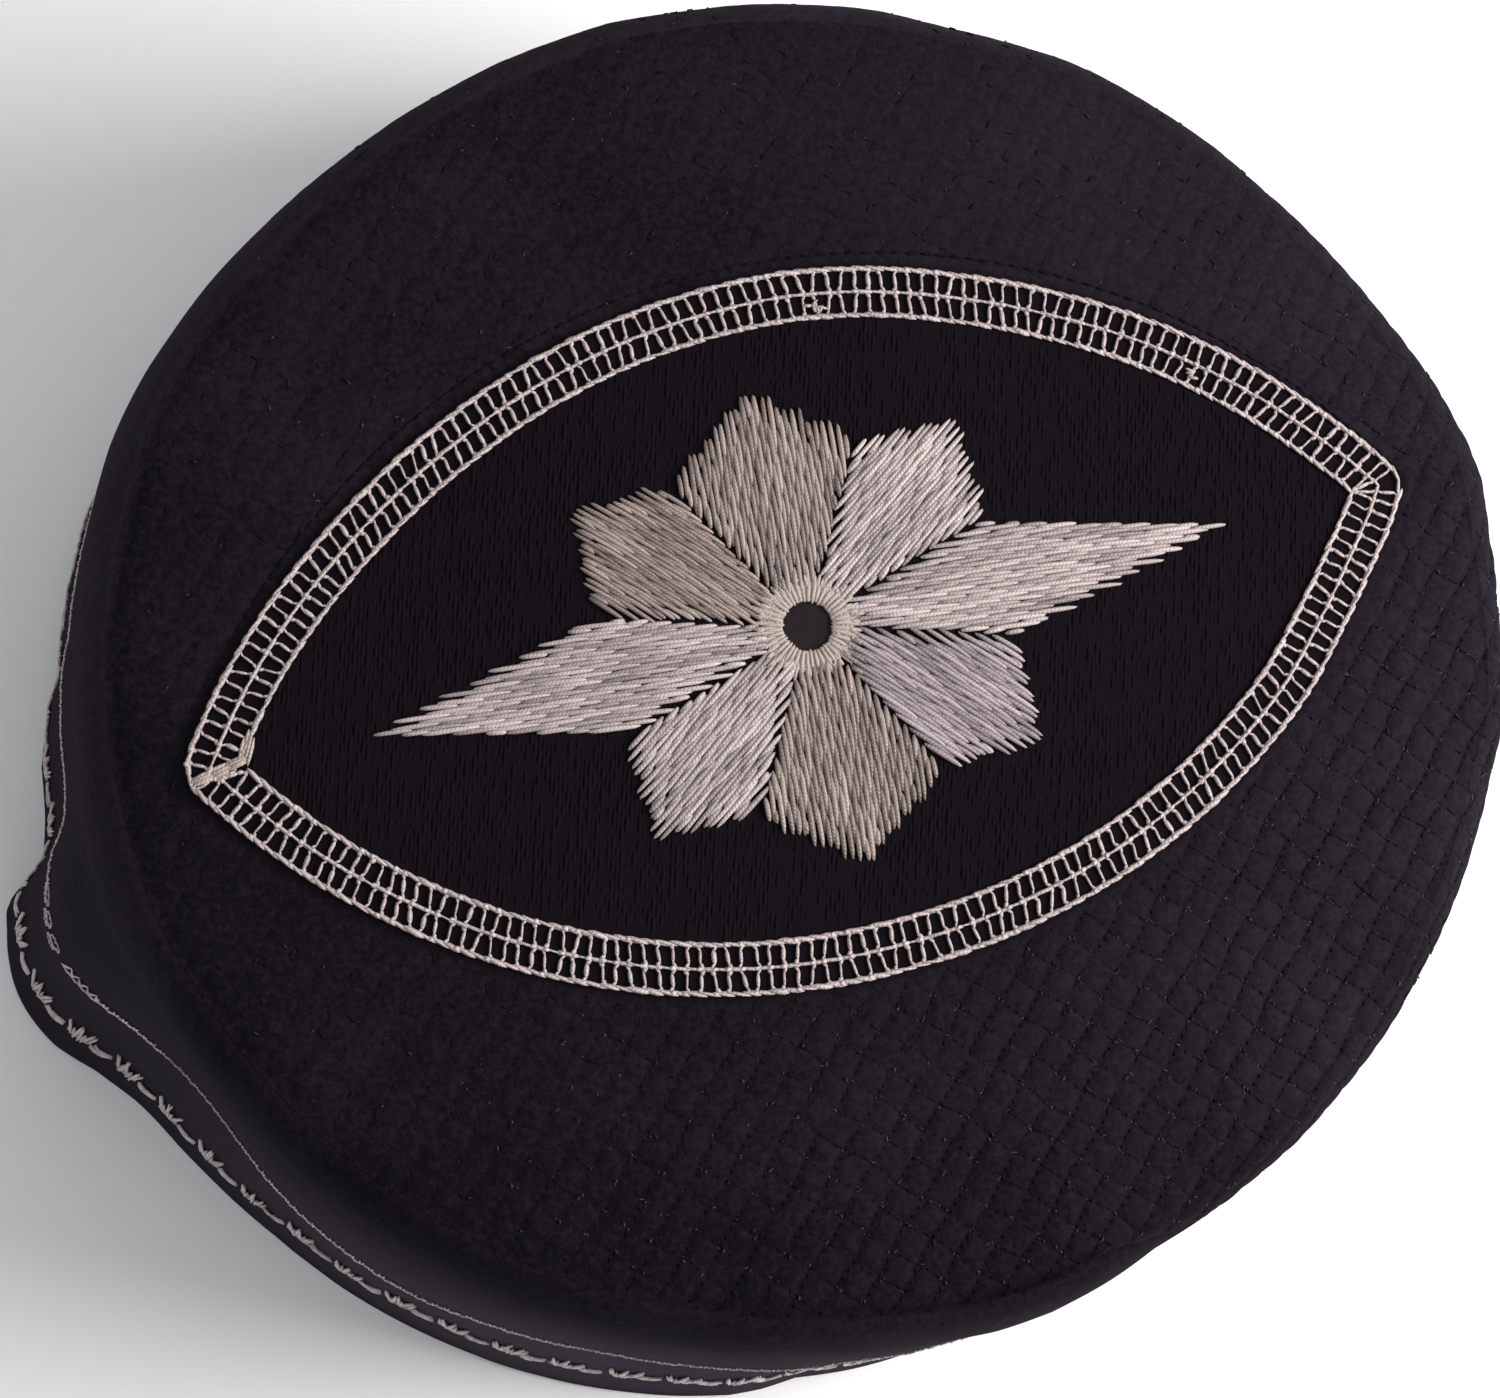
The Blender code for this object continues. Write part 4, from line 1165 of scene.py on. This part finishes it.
def sewLadder(material, rng):
    sewn = Stitches()
    cells = ladder["cells"]
    limit = math.acos(arcDrop / (arcRadius + 1.5 * mm))
    for side in (1, -1):
        steady = np.linspace(-limit, limit, cells + 1)
        cell = steady[1] - steady[0]
        wander = 0.16 * np.sin(np.arange(cells + 1) * 0.55 + 2.0 * side) * np.sin(np.arange(cells + 1) * 0.21 + 1.0)
        lean = np.interp(np.degrees(steady), rungLean[:, 0], rungLean[:, 1 if side > 0 else 2]) + wander

        def addRun(first, last, shareFirst, shareLast, thick, lift, tone=0.0):
            starts, stops = ladderPoints(side, first, shareFirst), ladderPoints(side, last, shareLast)
            sewn.addOnCrown(starts, stops, lift, thick, tone)

        def shaken(size=1.0):
            return rng.normal(0, ladder["shake"] * size * cell, cells + 1)

        levels = [steady - lean * cell + shaken(), steady + shaken(), steady + lean * cell + shaken()]
        for row in (0, 1):  # the outer and the inner row of cells
            top, foot = levels[row] + shaken(0.5), levels[row + 1] + shaken(0.5)
            near, far = 0.5 * row, 0.5 * row + 0.5
            inside = slice(1, -1)
            swing = np.where(np.arange(cells + 1) % 2 == row, 1.0, -1.0) * ladder["hook"] * cell
            bends = ((top + swing, near + 0.02), (top, near + 0.12), (foot, far - 0.12), (foot - swing, far - 0.02))
            for (first, shareFirst), (last, shareLast) in zip(bends, bends[1:]):
                thick = rng.uniform(0.62, 0.98, cells - 1)
                addRun(first[inside], last[inside], shareFirst, shareLast, thick, ladder["lift"])
            middle, rail = (0.485, 0.03) if row == 0 else (0.515, 0.97)
            atMiddle, atRail = (foot, top) if row == 0 else (top, foot)
            odd = np.arange(1, cells - 1, 2)
            even = np.arange(2, cells - 1, 2)
            addRun(atMiddle[odd], atMiddle[odd + 1], middle, middle, 0.6, ladder["lift"] - 0.04 * mm, -0.3)
            addRun(atRail[even], atRail[even + 1], rail, rail, 0.7, ladder["lift"] - 0.02 * mm, -0.2)
        for number, (share, thick, slant) in enumerate(((0.0, 1.05, 1.0), (0.5, 0.72, 0.35), (1.0, 1.0, 1.0))):
            joints = levels[number] + shaken()
            first = np.clip(joints[:-1] - ladder["overlap"] * cell, -limit, limit)
            last = np.clip(joints[1:] + ladder["overlap"] * cell, -limit, limit)
            if share == 1.0:  # the inner rail ends in the corner of the lens
                corner = math.acos(arcDrop / (arcRadius - ladder["innerInset"] + 1.8 * mm))
                within = (first > -corner) & (first < corner)
                first, last = first[within], np.minimum(last[within], corner)
            tilt = ladder["slant"] * slant * side
            thick = thick * rng.uniform(0.75, 1.15, len(first))
            addRun(first, last, share - tilt, share + tilt, thick, ladder["lift"] + 0.12 * mm, 0.15)
            beads = first[rng.random(len(first)) < 0.5]
            addRun(beads - 0.1 * cell, beads + 0.2 * cell, share, share, 1.1, ladder["lift"] + 0.14 * mm, 0.4)
        knots = levels[1][2:-2]
        addRun(knots - 0.16 * cell, knots + 0.16 * cell, 0.485, 0.515, 0.95, ladder["lift"] + 0.16 * mm, 0.5)
    # Two places where the thread was started and trimmed
    for x, y in ((11.6 * mm, 38.2 * mm), (55.9 * mm, 19.2 * mm)):
        angle = rng.uniform(0, math.pi, 6)
        offset = rng.normal(0, 0.35 * mm, (6, 2)) + np.array(starToHat(x, y))
        half = headings(angle) * rng.uniform(0.3, 0.7, (6, 1)) * mm
        sewn.addOnCrown(offset - half, offset + half, ladder["lift"] + 0.18 * mm, 0.7, 0.0)
    piece = sewn.sew("ladder_border", dict(ladderStitch, Seed=37), material)
    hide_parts("lens_border")


def sewMitre(material, rng):  # the dense cream threads where the rows are mitred at the left tip
    sewn = Stitches()
    start, end = np.array([-77.0, 0.2]) * mm, np.array([-70.2, 1.4]) * mm
    across = np.array([-0.17, 0.985])
    for strand in np.linspace(-1.0, 1.0, 5):
        places = np.linspace(0.0, 1.0, 4) + rng.normal(0, 0.03, 4)
        spread = 0.42 * mm * strand * (1.0 - 0.25 * np.abs(places - 0.5)) + rng.normal(0, 0.06 * mm, 4)
        points = start + (end - start) * places[:, None] + across * spread[:, None]
        points = np.stack(starToHat(points[:, 0], points[:, 1]), axis=1)
        sewn.addOnCrown(points[:-1], points[1:], ladder["lift"] + 0.14 * mm, 1.0, rng.uniform(-0.4, 0.5, 3))
    corner = np.array([-70.3, 1.6]) * mm  # the strands run on a little along the inner rail
    way = np.array([0.45, 0.89])
    for strand in range(4):
        first = corner + np.array([0.35, -0.18]) * (strand - 1.5) * mm + way * rng.uniform(-0.6, 0.3) * mm
        last = first + way * rng.uniform(2.0, 3.4) * mm
        points = np.stack([starToHat(*first), starToHat(*last)])
        sewn.addOnCrown(points[:1], points[1:], ladder["lift"] + 0.16 * mm, 1.0, rng.uniform(-0.1, 0.6))
    piece = sewn.sew("ladder_mitre", dict(ladderStitch, Seed=43), material)


def sewOutline(material):  # a faint line of black running stitches outside the ladder's upper arc
    sewn = Stitches()
    radius = arcRadius + ladder["outlineOffset"]
    limit = math.acos(arcDrop / radius)
    pitch = 1.9 * mm / radius
    starts = np.arange(-limit, limit - pitch, pitch)
    first, last = [
        np.stack(starToHat(radius * np.sin(angle), radius * np.cos(angle) - arcDrop), axis=1)
        for angle in (starts, starts + 0.72 * pitch)]
    sewn.addOnCrown(first, last, -0.02 * mm)
    sizes = {"Width": 0.36 * mm, "Height": 0.24 * mm, "End Dip": 0.8, "Sides": 5, "Segments": 3, "Seed": 41}
    piece = sewn.sew("outline_stitches", sizes, material)


# The star: eight petals of parallel rows of stitches round a ring
star = {
    "petalStart": 6.0 * mm,
    "petalGap": 0.9 * mm,
    "stitch": 3.4 * mm,
    "fullness": 0.80,  # a strand's width, of the pitch of the rows
    "slant": math.tan(math.radians(7.0)),  # every stitch leans a little clockwise from its row
    "lift": 0.12 * mm,
    "rowShift": 0.4,  # of a stitch, from one row to the next
    "shortestRow": 0.9 * mm,
    "shortestStitch": 0.8 * mm,
    "overlap": 0.10 * mm,
    "ringRadius": 6.4 * mm,
    "holeRadius": 3.15 * mm,
}
starPlace = np.array([hatForm["starX"], hatForm["starY"]])
longShoulder = {"angle": 17.0, "radius": 25.8 * mm}
crossShoulder = {"angle": 60.5, "radius": 23.7 * mm}
taupe = ((0.045, 0.030, 0.027, 1.0), (0.47, 0.37, 0.335, 1.0))
lilac = ((0.060, 0.045, 0.049, 1.0), (0.57, 0.475, 0.492, 1.0))
pale = ((0.080, 0.060, 0.060, 1.0), (0.66, 0.56, 0.55, 1.0))
petals = (
    {"name": "right", "angle": 0.0, "tip": 53.7 * mm, "pitch": 0.77 * mm, "colors": pale},
    {"name": "upper_right", "angle": 40.0, "tip": 31.2 * mm, "pitch": 0.76 * mm, "colors": pale},
    {"name": "top", "angle": 90.0, "tip": 28.9 * mm, "pitch": 0.82 * mm, "colors": taupe},
    {"name": "upper_left", "angle": 140.0, "tip": 31.2 * mm, "pitch": 0.72 * mm, "colors": taupe},
    {"name": "left", "angle": 180.0, "tip": 53.7 * mm, "pitch": 0.79 * mm, "colors": pale},
    {"name": "lower_left", "angle": 220.0, "tip": 31.2 * mm, "pitch": 0.80 * mm, "colors": pale},
    {"name": "bottom", "angle": 270.0, "tip": 28.9 * mm, "pitch": 0.82 * mm, "colors": taupe},
    {"name": "lower_right", "angle": 320.0, "tip": 31.2 * mm, "pitch": 0.80 * mm, "colors": lilac},
)


def petalCorners(angle, tip):  # start, shoulder, tip, shoulder, start, round the petal
    gaps = []
    for quarter in range(4):
        for corner in (longShoulder, crossShoulder):
            mirrored = corner["angle"] if quarter % 2 == 0 else 90.0 - corner["angle"]
            gaps.append(((mirrored + 90.0 * quarter) % 360.0, corner["radius"]))
    after = min(gaps, key=lambda gap: (gap[0] - angle) % 360.0)
    before = min(gaps, key=lambda gap: (angle - gap[0]) % 360.0)
    corners = []
    for gap, side in ((before, 1), (after, -1)):
        along = heading(math.radians(gap[0]))
        away = np.array([-along[1], along[0]]) * side * star["petalGap"] / 2
        corners.append([star["petalStart"] * along + away, gap[1] * along + away])
    point = heading(math.radians(angle)) * tip
    return np.array([corners[0][0], corners[0][1], point, corners[1][1], corners[1][0]])


def cutRow(corners, across, along, offset):  # where a straight row enters and leaves a petal
    crossings = []
    for first, last in zip(corners, np.roll(corners, -1, axis=0)):
        a, b = first @ across - offset, last @ across - offset
        if (a < 0) != (b < 0):
            crossings.append((first + (last - first) * a / (a - b)) @ along)
    return (min(crossings), max(crossings)) if len(crossings) > 1 else None


def sewPetal(petal, material, seed):
    sewn = Stitches()
    rng = np.random.default_rng(seed)
    corners = petalCorners(petal["angle"], petal["tip"])
    along = heading(math.radians(petal["angle"]))
    across = np.array([-along[1], along[0]])
    reaches = corners @ across
    middle = (reaches.min() + reaches.max()) / 2
    half = int((reaches.max() - reaches.min()) / 2 / petal["pitch"])
    starts, ends, tones = [], [], []
    for index in range(-half, half + 1):
        offset = middle + index * petal["pitch"]
        cut = cutRow(corners, across, along, offset)
        if cut is None:
            continue
        begin = cut[0] + rng.uniform(-0.12, 0.12) * mm
        finish = cut[1] + rng.uniform(-0.12, 0.12) * mm
        if finish - begin < star["shortestRow"]:
            continue
        phase = ((star["rowShift"] * index) % 1.0 + rng.uniform(-0.06, 0.06)) * star["stitch"]
        cuts = [begin]
        place = math.floor(begin / star["stitch"]) * star["stitch"] + phase
        while place < finish - star["shortestStitch"]:
            if place > begin + star["shortestStitch"]:
                cuts.append(place + rng.uniform(-0.15, 0.15) * mm)
            place += star["stitch"]
        cuts.append(finish)
        rowTone = rng.uniform(-0.15, 0.15)
        for first, last in zip(cuts, cuts[1:]):
            lean = star["slant"] * (last - first) / 2
            shake = rng.normal(0, 0.035, 2) * mm
            starts.append(along * (first - star["overlap"]) + across * (offset + lean + shake[0]))
            ends.append(along * (last + star["overlap"]) + across * (offset - lean + shake[1]))
            tones.append(rowTone)
    sewn.addOnCrown(np.array(starts) + starPlace, np.array(ends) + starPlace, star["lift"], 1.0, np.array(tones))
    sizes = {"Width": petal["pitch"] * star["fullness"], "Height": 0.58 * mm, "End Dip": 0.45, "End Taper": 0.30,
             "Sides": 7, "Segments": 6, "Side Jitter": 0.08 * mm, "Lift Jitter": 0.06 * mm, "Tone Jitter": 0.6,
             "Seed": seed}
    piece = sewn.sew("petal_" + petal["name"] + "_stitches", sizes, material)
    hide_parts("star_petal_" + petal["name"])


def sewRing(material):
    sewn = Stitches()
    rng = np.random.default_rng(61)

    def radial(count, inner, outer, jag, lift, thick, tone, turn=0.0):
        angle = (np.arange(count) + turn + rng.uniform(-0.12, 0.12, count)) * math.tau / count
        way = headings(angle)
        first = inner + rng.uniform(-jag, jag, count)
        last = outer + rng.uniform(-jag, jag, count)
        sewn.addOnCrown(way * first[:, None] + starPlace, way * last[:, None] + starPlace, lift, thick, tone)

    hole, edge = star["holeRadius"], star["ringRadius"]
    for radius in np.arange(3.4, 5.7, 0.5) * mm:  # the padding under the radial stitches
        count = int(math.tau * radius / (1.3 * mm))
        angle = np.arange(count + 1) * math.tau / count + radius / mm
        circle = headings(angle) * radius + starPlace
        sewn.addOnCrown(circle[:-1], circle[1:], star["lift"] - 0.04 * mm, 1.2, -0.6)
    radial(44, hole + 0.28 * mm, 5.1 * mm, 0.12 * mm, star["lift"] + 0.12 * mm, 1.0, 0.0)
    radial(50, 4.5 * mm, edge - 0.1 * mm, 0.35 * mm, star["lift"] + 0.06 * mm, 1.05, 0.0, 0.5)
    radial(34, 5.5 * mm, 6.1 * mm, 0.3 * mm, star["lift"] + 0.15 * mm, 0.8, 0.6, 0.25)
    sizes = {"Width": 0.52 * mm, "Height": 0.36 * mm, "End Dip": 0.4, "End Taper": 0.6, "Sides": 6, "Segments": 5,
             "Side Jitter": 0.06 * mm, "Lift Jitter": 0.03 * mm, "Tone Jitter": 0.25, "Seed": 67}
    piece = sewn.sew("ring_stitches", sizes, material)
    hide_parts("star_ring")


# Two embroidered rows round the side band
bandRows = {
    "upperHeight": 50.0 * mm,
    "linePitch": 1.55 * mm,
    "loopsFrom": 180.8,
    "loopsTo": 186.2,
    "trianglesTo": 189.0,
    "loopWidth": 2.5 * mm,
    "loopRise": 3.4 * mm,
    "lowerHeight": 13.5 * mm,
    "motifPitch": 8.1 * mm,
    "motifShift": -1.1 * mm,
}
# A motif's threads, a leafy crown and a plain bowed bar: each runs from one place to another, along and up from the row
leafThreads = np.array((
    (0.1, -1.4, -0.6, 4.2), (0.6, -2.5, -0.4, 4.6), (1.2, -2.7, 1.4, 5.6), (1.8, -2.7, 1.5, 5.2),
    (2.5, -2.6, 3.4, 4.8), (3.1, -1.8, 3.7, 3.9), (0.9, -2.8, 0.7, 0.9), (2.2, -2.8, 2.3, 0.8),
    (0.1, -2.0, 1.8, -2.4), (1.6, -2.4, 3.3, -1.8), (0.3, -0.9, 3.1, -0.7),
)) * mm
barThreads = np.array((
    (4.0, -0.6, 5.4, -1.6), (5.2, -1.6, 6.8, -0.7), (4.0, -1.5, 5.4, -2.5), (5.2, -2.5, 6.9, -1.6),
    (4.1, -2.4, 5.4, -3.4), (5.2, -3.4, 6.8, -2.5),
)) * mm


def wallTravel(height):  # azimuths, and how far each lies round the wall at this height
    azimuth = np.linspace(0.0, math.tau, 2881)
    steps = np.linalg.norm(np.diff(bandPlaces(azimuth, height)[0], axis=0), axis=1)
    return azimuth, np.concatenate([[0.0], np.cumsum(steps)])


def sewLowerRow(material):
    sewn = Stitches()
    rng = np.random.default_rng(71)
    azimuth, travel = wallTravel(bandRows["lowerHeight"])
    repeats = round(travel[-1] / bandRows["motifPitch"])
    pitch = travel[-1] / repeats
    threads = np.concatenate([leafThreads, barThreads])
    count = len(threads)
    for repeat in range(repeats):
        jag = rng.normal(0, 0.16 * mm, (count, 4))
        along = (threads[:, [0, 2]] + jag[:, [0, 2]]) * pitch / bandRows["motifPitch"] + repeat * pitch
        along = (along + bandRows["motifShift"]) % travel[-1]
        rise = bandRows["lowerHeight"] + threads[:, [1, 3]] + 1.6 * jag[:, [1, 3]]
        first, up = bandPlaces(np.interp(along[:, 0], travel, azimuth), rise[:, 0], 0.12 * mm)
        second, other = bandPlaces(np.interp(along[:, 1], travel, azimuth), rise[:, 1], 0.12 * mm)
        sewn.add(first, second, up + other, rng.uniform(0.85, 1.1, count), rng.uniform(-0.4, 0.4, count))
    sizes = {"Width": 0.52 * mm, "Height": 0.42 * mm, "End Dip": 0.5, "Sides": 6, "Segments": 4,
             "Side Jitter": 0.1 * mm, "Lift Jitter": 0.04 * mm, "Seed": 73}
    piece = sewn.sew("lower_row_stitches", sizes, material)


def sewUpperRow(material):  # a thin knotted line, with open loops and triangles where the wall bulges to the left
    sewn = Stitches()
    rng = np.random.default_rng(81)
    azimuth, travel = wallTravel(bandRows["upperHeight"])
    repeats = round(travel[-1] / bandRows["linePitch"])
    pitch = travel[-1] / repeats
    middle = bandRows["upperHeight"]

    def addPath(along, height, thick, tone):
        place, up = bandPlaces(np.interp(along % travel[-1], travel, azimuth), height, 0.10 * mm)
        sewn.add(place[:-1], place[1:], up[:-1] + up[1:], thick, tone)

    for repeat in range(repeats):
        along = (repeat + np.array([0.0, 1.0])) * pitch
        degrees = math.degrees(np.interp(along[0], travel, azimuth))
        # Painted shade: in three stretches round the wall, where the thread lies in shade, the line is drawn thinner
        # and coloured darker.
        thinnerAndShaded = float(ease(degrees, 193.0, 197.0) * (1 - ease(degrees, 204.0, 209.0)))
        thinnerAndShaded = max(thinnerAndShaded, 0.35 * float(ease(degrees, 193.0, 197.0)) + 0.3 * float(ease(degrees, 233.0, 240.0)))
        thinnerAndShaded = max(thinnerAndShaded, 0.45 * float(ease(degrees, 120.0, 140.0) * (1 - ease(degrees, 186.0, 190.0))))
        height = middle + rng.normal(0, 0.3 * mm, 2)
        if not bandRows["loopsFrom"] < degrees < bandRows["trianglesTo"]:
            addPath(along, height, 1.0 - 0.65 * thinnerAndShaded, rng.uniform(-0.4, 0.3) - 1.2 * thinnerAndShaded)
            for side in (-0.2, 0.2):
                knot = along[0] + np.array([side * pitch, 0.0]) + rng.normal(0, 0.1 * mm)
                addPath(knot, middle + np.array([1.3 * mm, -0.2 * mm]), 1.1 - 0.75 * thinnerAndShaded, 0.3 - 1.2 * thinnerAndShaded)
        elif degrees < bandRows["loopsTo"] and repeat % 2 == 0:  # a figure of eight
            turn = np.linspace(0.0, math.tau, 11)
            for lobe in (-1, 1):
                wide = bandRows["loopWidth"] / 2 * rng.uniform(0.85, 1.1)
                tall = bandRows["loopRise"] / 2
                path = along[0] + wide * (np.sin(turn) + 0.3 * lobe * (1 - np.cos(turn)))
                addPath(path, middle + lobe * tall * (1 - np.cos(turn)) / 1.6, 0.7, rng.uniform(-1.0, -0.5))
        elif degrees > bandRows["loopsTo"]:
            path = along[0] + np.array([-0.1, 0.75, 1.35, 0.0]) * pitch
            addPath(path, middle + np.array([-0.9, 2.1, -0.3, -0.8]) * mm, 0.95, rng.uniform(-0.6, 0.1))
    sizes = {"Width": 0.38 * mm, "Height": 0.34 * mm, "End Dip": 0.3, "Sides": 5, "Segments": 2,
             "Side Jitter": 0.06 * mm, "Lift Jitter": 0.03 * mm, "Overlap": 0.12 * mm, "Seed": 83}
    piece = sewn.sew("upper_row_stitches", sizes, material)


# The stage: floor, lights, world and camera
stage = {
    "floorHalf": 4.0,
    "floor": (0.90, 0.90, 0.90, 1.0),
    "floorDark": (0.80, 0.80, 0.80, 1.0),
    "world": (0.95, 0.97, 1.0, 1.0),
    "worldStrength": 0.33,
    "cameraPlace": (-96.6 * mm, -54.5 * mm, 630.5 * mm),
    "cameraTarget": (-9.8 * mm, -3.7 * mm, 92.0 * mm),
    "cameraRoll": math.radians(14.3),
    "cameraLens": 107.58,
    "cameraSensor": 36.0,
}
lights = (
    {"name": "keyLight", "place": (0.57, -0.18, 0.50), "size": 0.4, "power": 8.0, "color": (1.0, 0.97, 0.95)},
    {"name": "fillLight", "place": (-0.9, 0.5, 0.9), "size": 1.0, "power": 1.8, "color": (0.95, 0.97, 1.0)},
    {"name": "topLight", "place": (0.1, 0.1, 1.5), "size": 1.2, "power": 5.5, "color": (1.0, 1.0, 1.0)},
)


def makeStage():
    material, wire = startMaterial("paleFloor")
    place = wire.node("ShaderNodeTexCoord", {}, {}, "Object")
    grain = noise(wire, place, 300.0, 2.0)
    color = blendColor(wire, grain * 0.15, stage["floor"], stage["floorDark"])
    finishMaterial(wire, color, 0.85 + grain * 0.05, grain, {"strength": 0.1, "distance": 0.1 * mm},
                   {"Specular IOR Level": 0.2})
    half = stage["floorHalf"]
    mesh = bpy.data.meshes.new("floor")
    mesh.from_pydata([(-half, -half, 0), (half, -half, 0), (half, half, 0), (-half, half, 0)], [], [(0, 1, 2, 3)])
    mesh.materials.append(material)
    floor = bpy.data.objects.new("floor", mesh)
    bpy.context.scene.collection.objects.link(floor)
    world = bpy.data.worlds.new("studio")
    world.use_nodes = True
    background = world.node_tree.nodes["Background"]
    background.inputs["Color"].default_value = stage["world"]
    background.inputs["Strength"].default_value = stage["worldStrength"]
    bpy.context.scene.world = world
    for row in lights:
        light = bpy.data.lights.new(row["name"], "AREA")
        light.shape = "DISK"
        light.size = row["size"]
        light.energy = row["power"]
        light.color = row["color"]
        lamp = bpy.data.objects.new(row["name"], light)
        lamp.location = row["place"]
        lamp.rotation_euler = (Vector((0.0, 0.0, 0.05)) - lamp.location).to_track_quat("-Z", "Y").to_euler()
        bpy.context.scene.collection.objects.link(lamp)


def makeCamera():
    camera = bpy.data.cameras.new("camera")
    camera.sensor_width = stage["cameraSensor"]
    camera.lens = stage["cameraLens"]
    camera.clip_start = 0.01
    camera.clip_end = 20.0
    place = Vector(stage["cameraPlace"])
    ahead = (Vector(stage["cameraTarget"]) - place).normalized()
    hatX = Vector((1.0, 0.0, 0.0))
    hatX = (hatX - ahead * hatX.dot(ahead)).normalized()
    hatY = (-ahead).cross(hatX)
    cosine, sine = math.cos(stage["cameraRoll"]), math.sin(stage["cameraRoll"])
    right = hatX * cosine - hatY * sine
    up = hatX * sine + hatY * cosine
    matrix = Matrix((right, up, -ahead)).transposed().to_4x4()
    matrix.translation = place
    holder = bpy.data.objects.new("camera", camera)
    holder.matrix_world = matrix
    bpy.context.scene.collection.objects.link(holder)
    bpy.context.scene.camera = holder


makeStage()
makeCamera()
bpy.context.scene.view_settings.view_transform = "Standard"
print("stage set")

quiltCloth = makeQuiltCloth()
bandCloth = makeBandCloth()
threads = {name: makeThread(name, **look) for name, look in threadLooks.items()}
print("materials ready")

makeCrown(quiltCloth)
makeBand(bandCloth)
sewQuilting(threads["blackThread"])
sewKnots(threads["knotThreadPaintedGlint"])
sewField(threads["fieldThread"])
ladderDraws = np.random.default_rng(31)
sewLadder(threads["borderThread"], ladderDraws)
sewMitre(threads["creamThread"], ladderDraws)
sewOutline(threads["blackThread"])
for seed, petal in enumerate(petals, 101):
    sewPetal(petal, makeThread(petal["name"] + "PetalThread", *petal["colors"], **petalThreadLook), seed)
sewRing(threads["ringThread"])
sewLowerRow(threads["rowThread"])
sewUpperRow(threads["rowThread"])
print("kufi dressed")
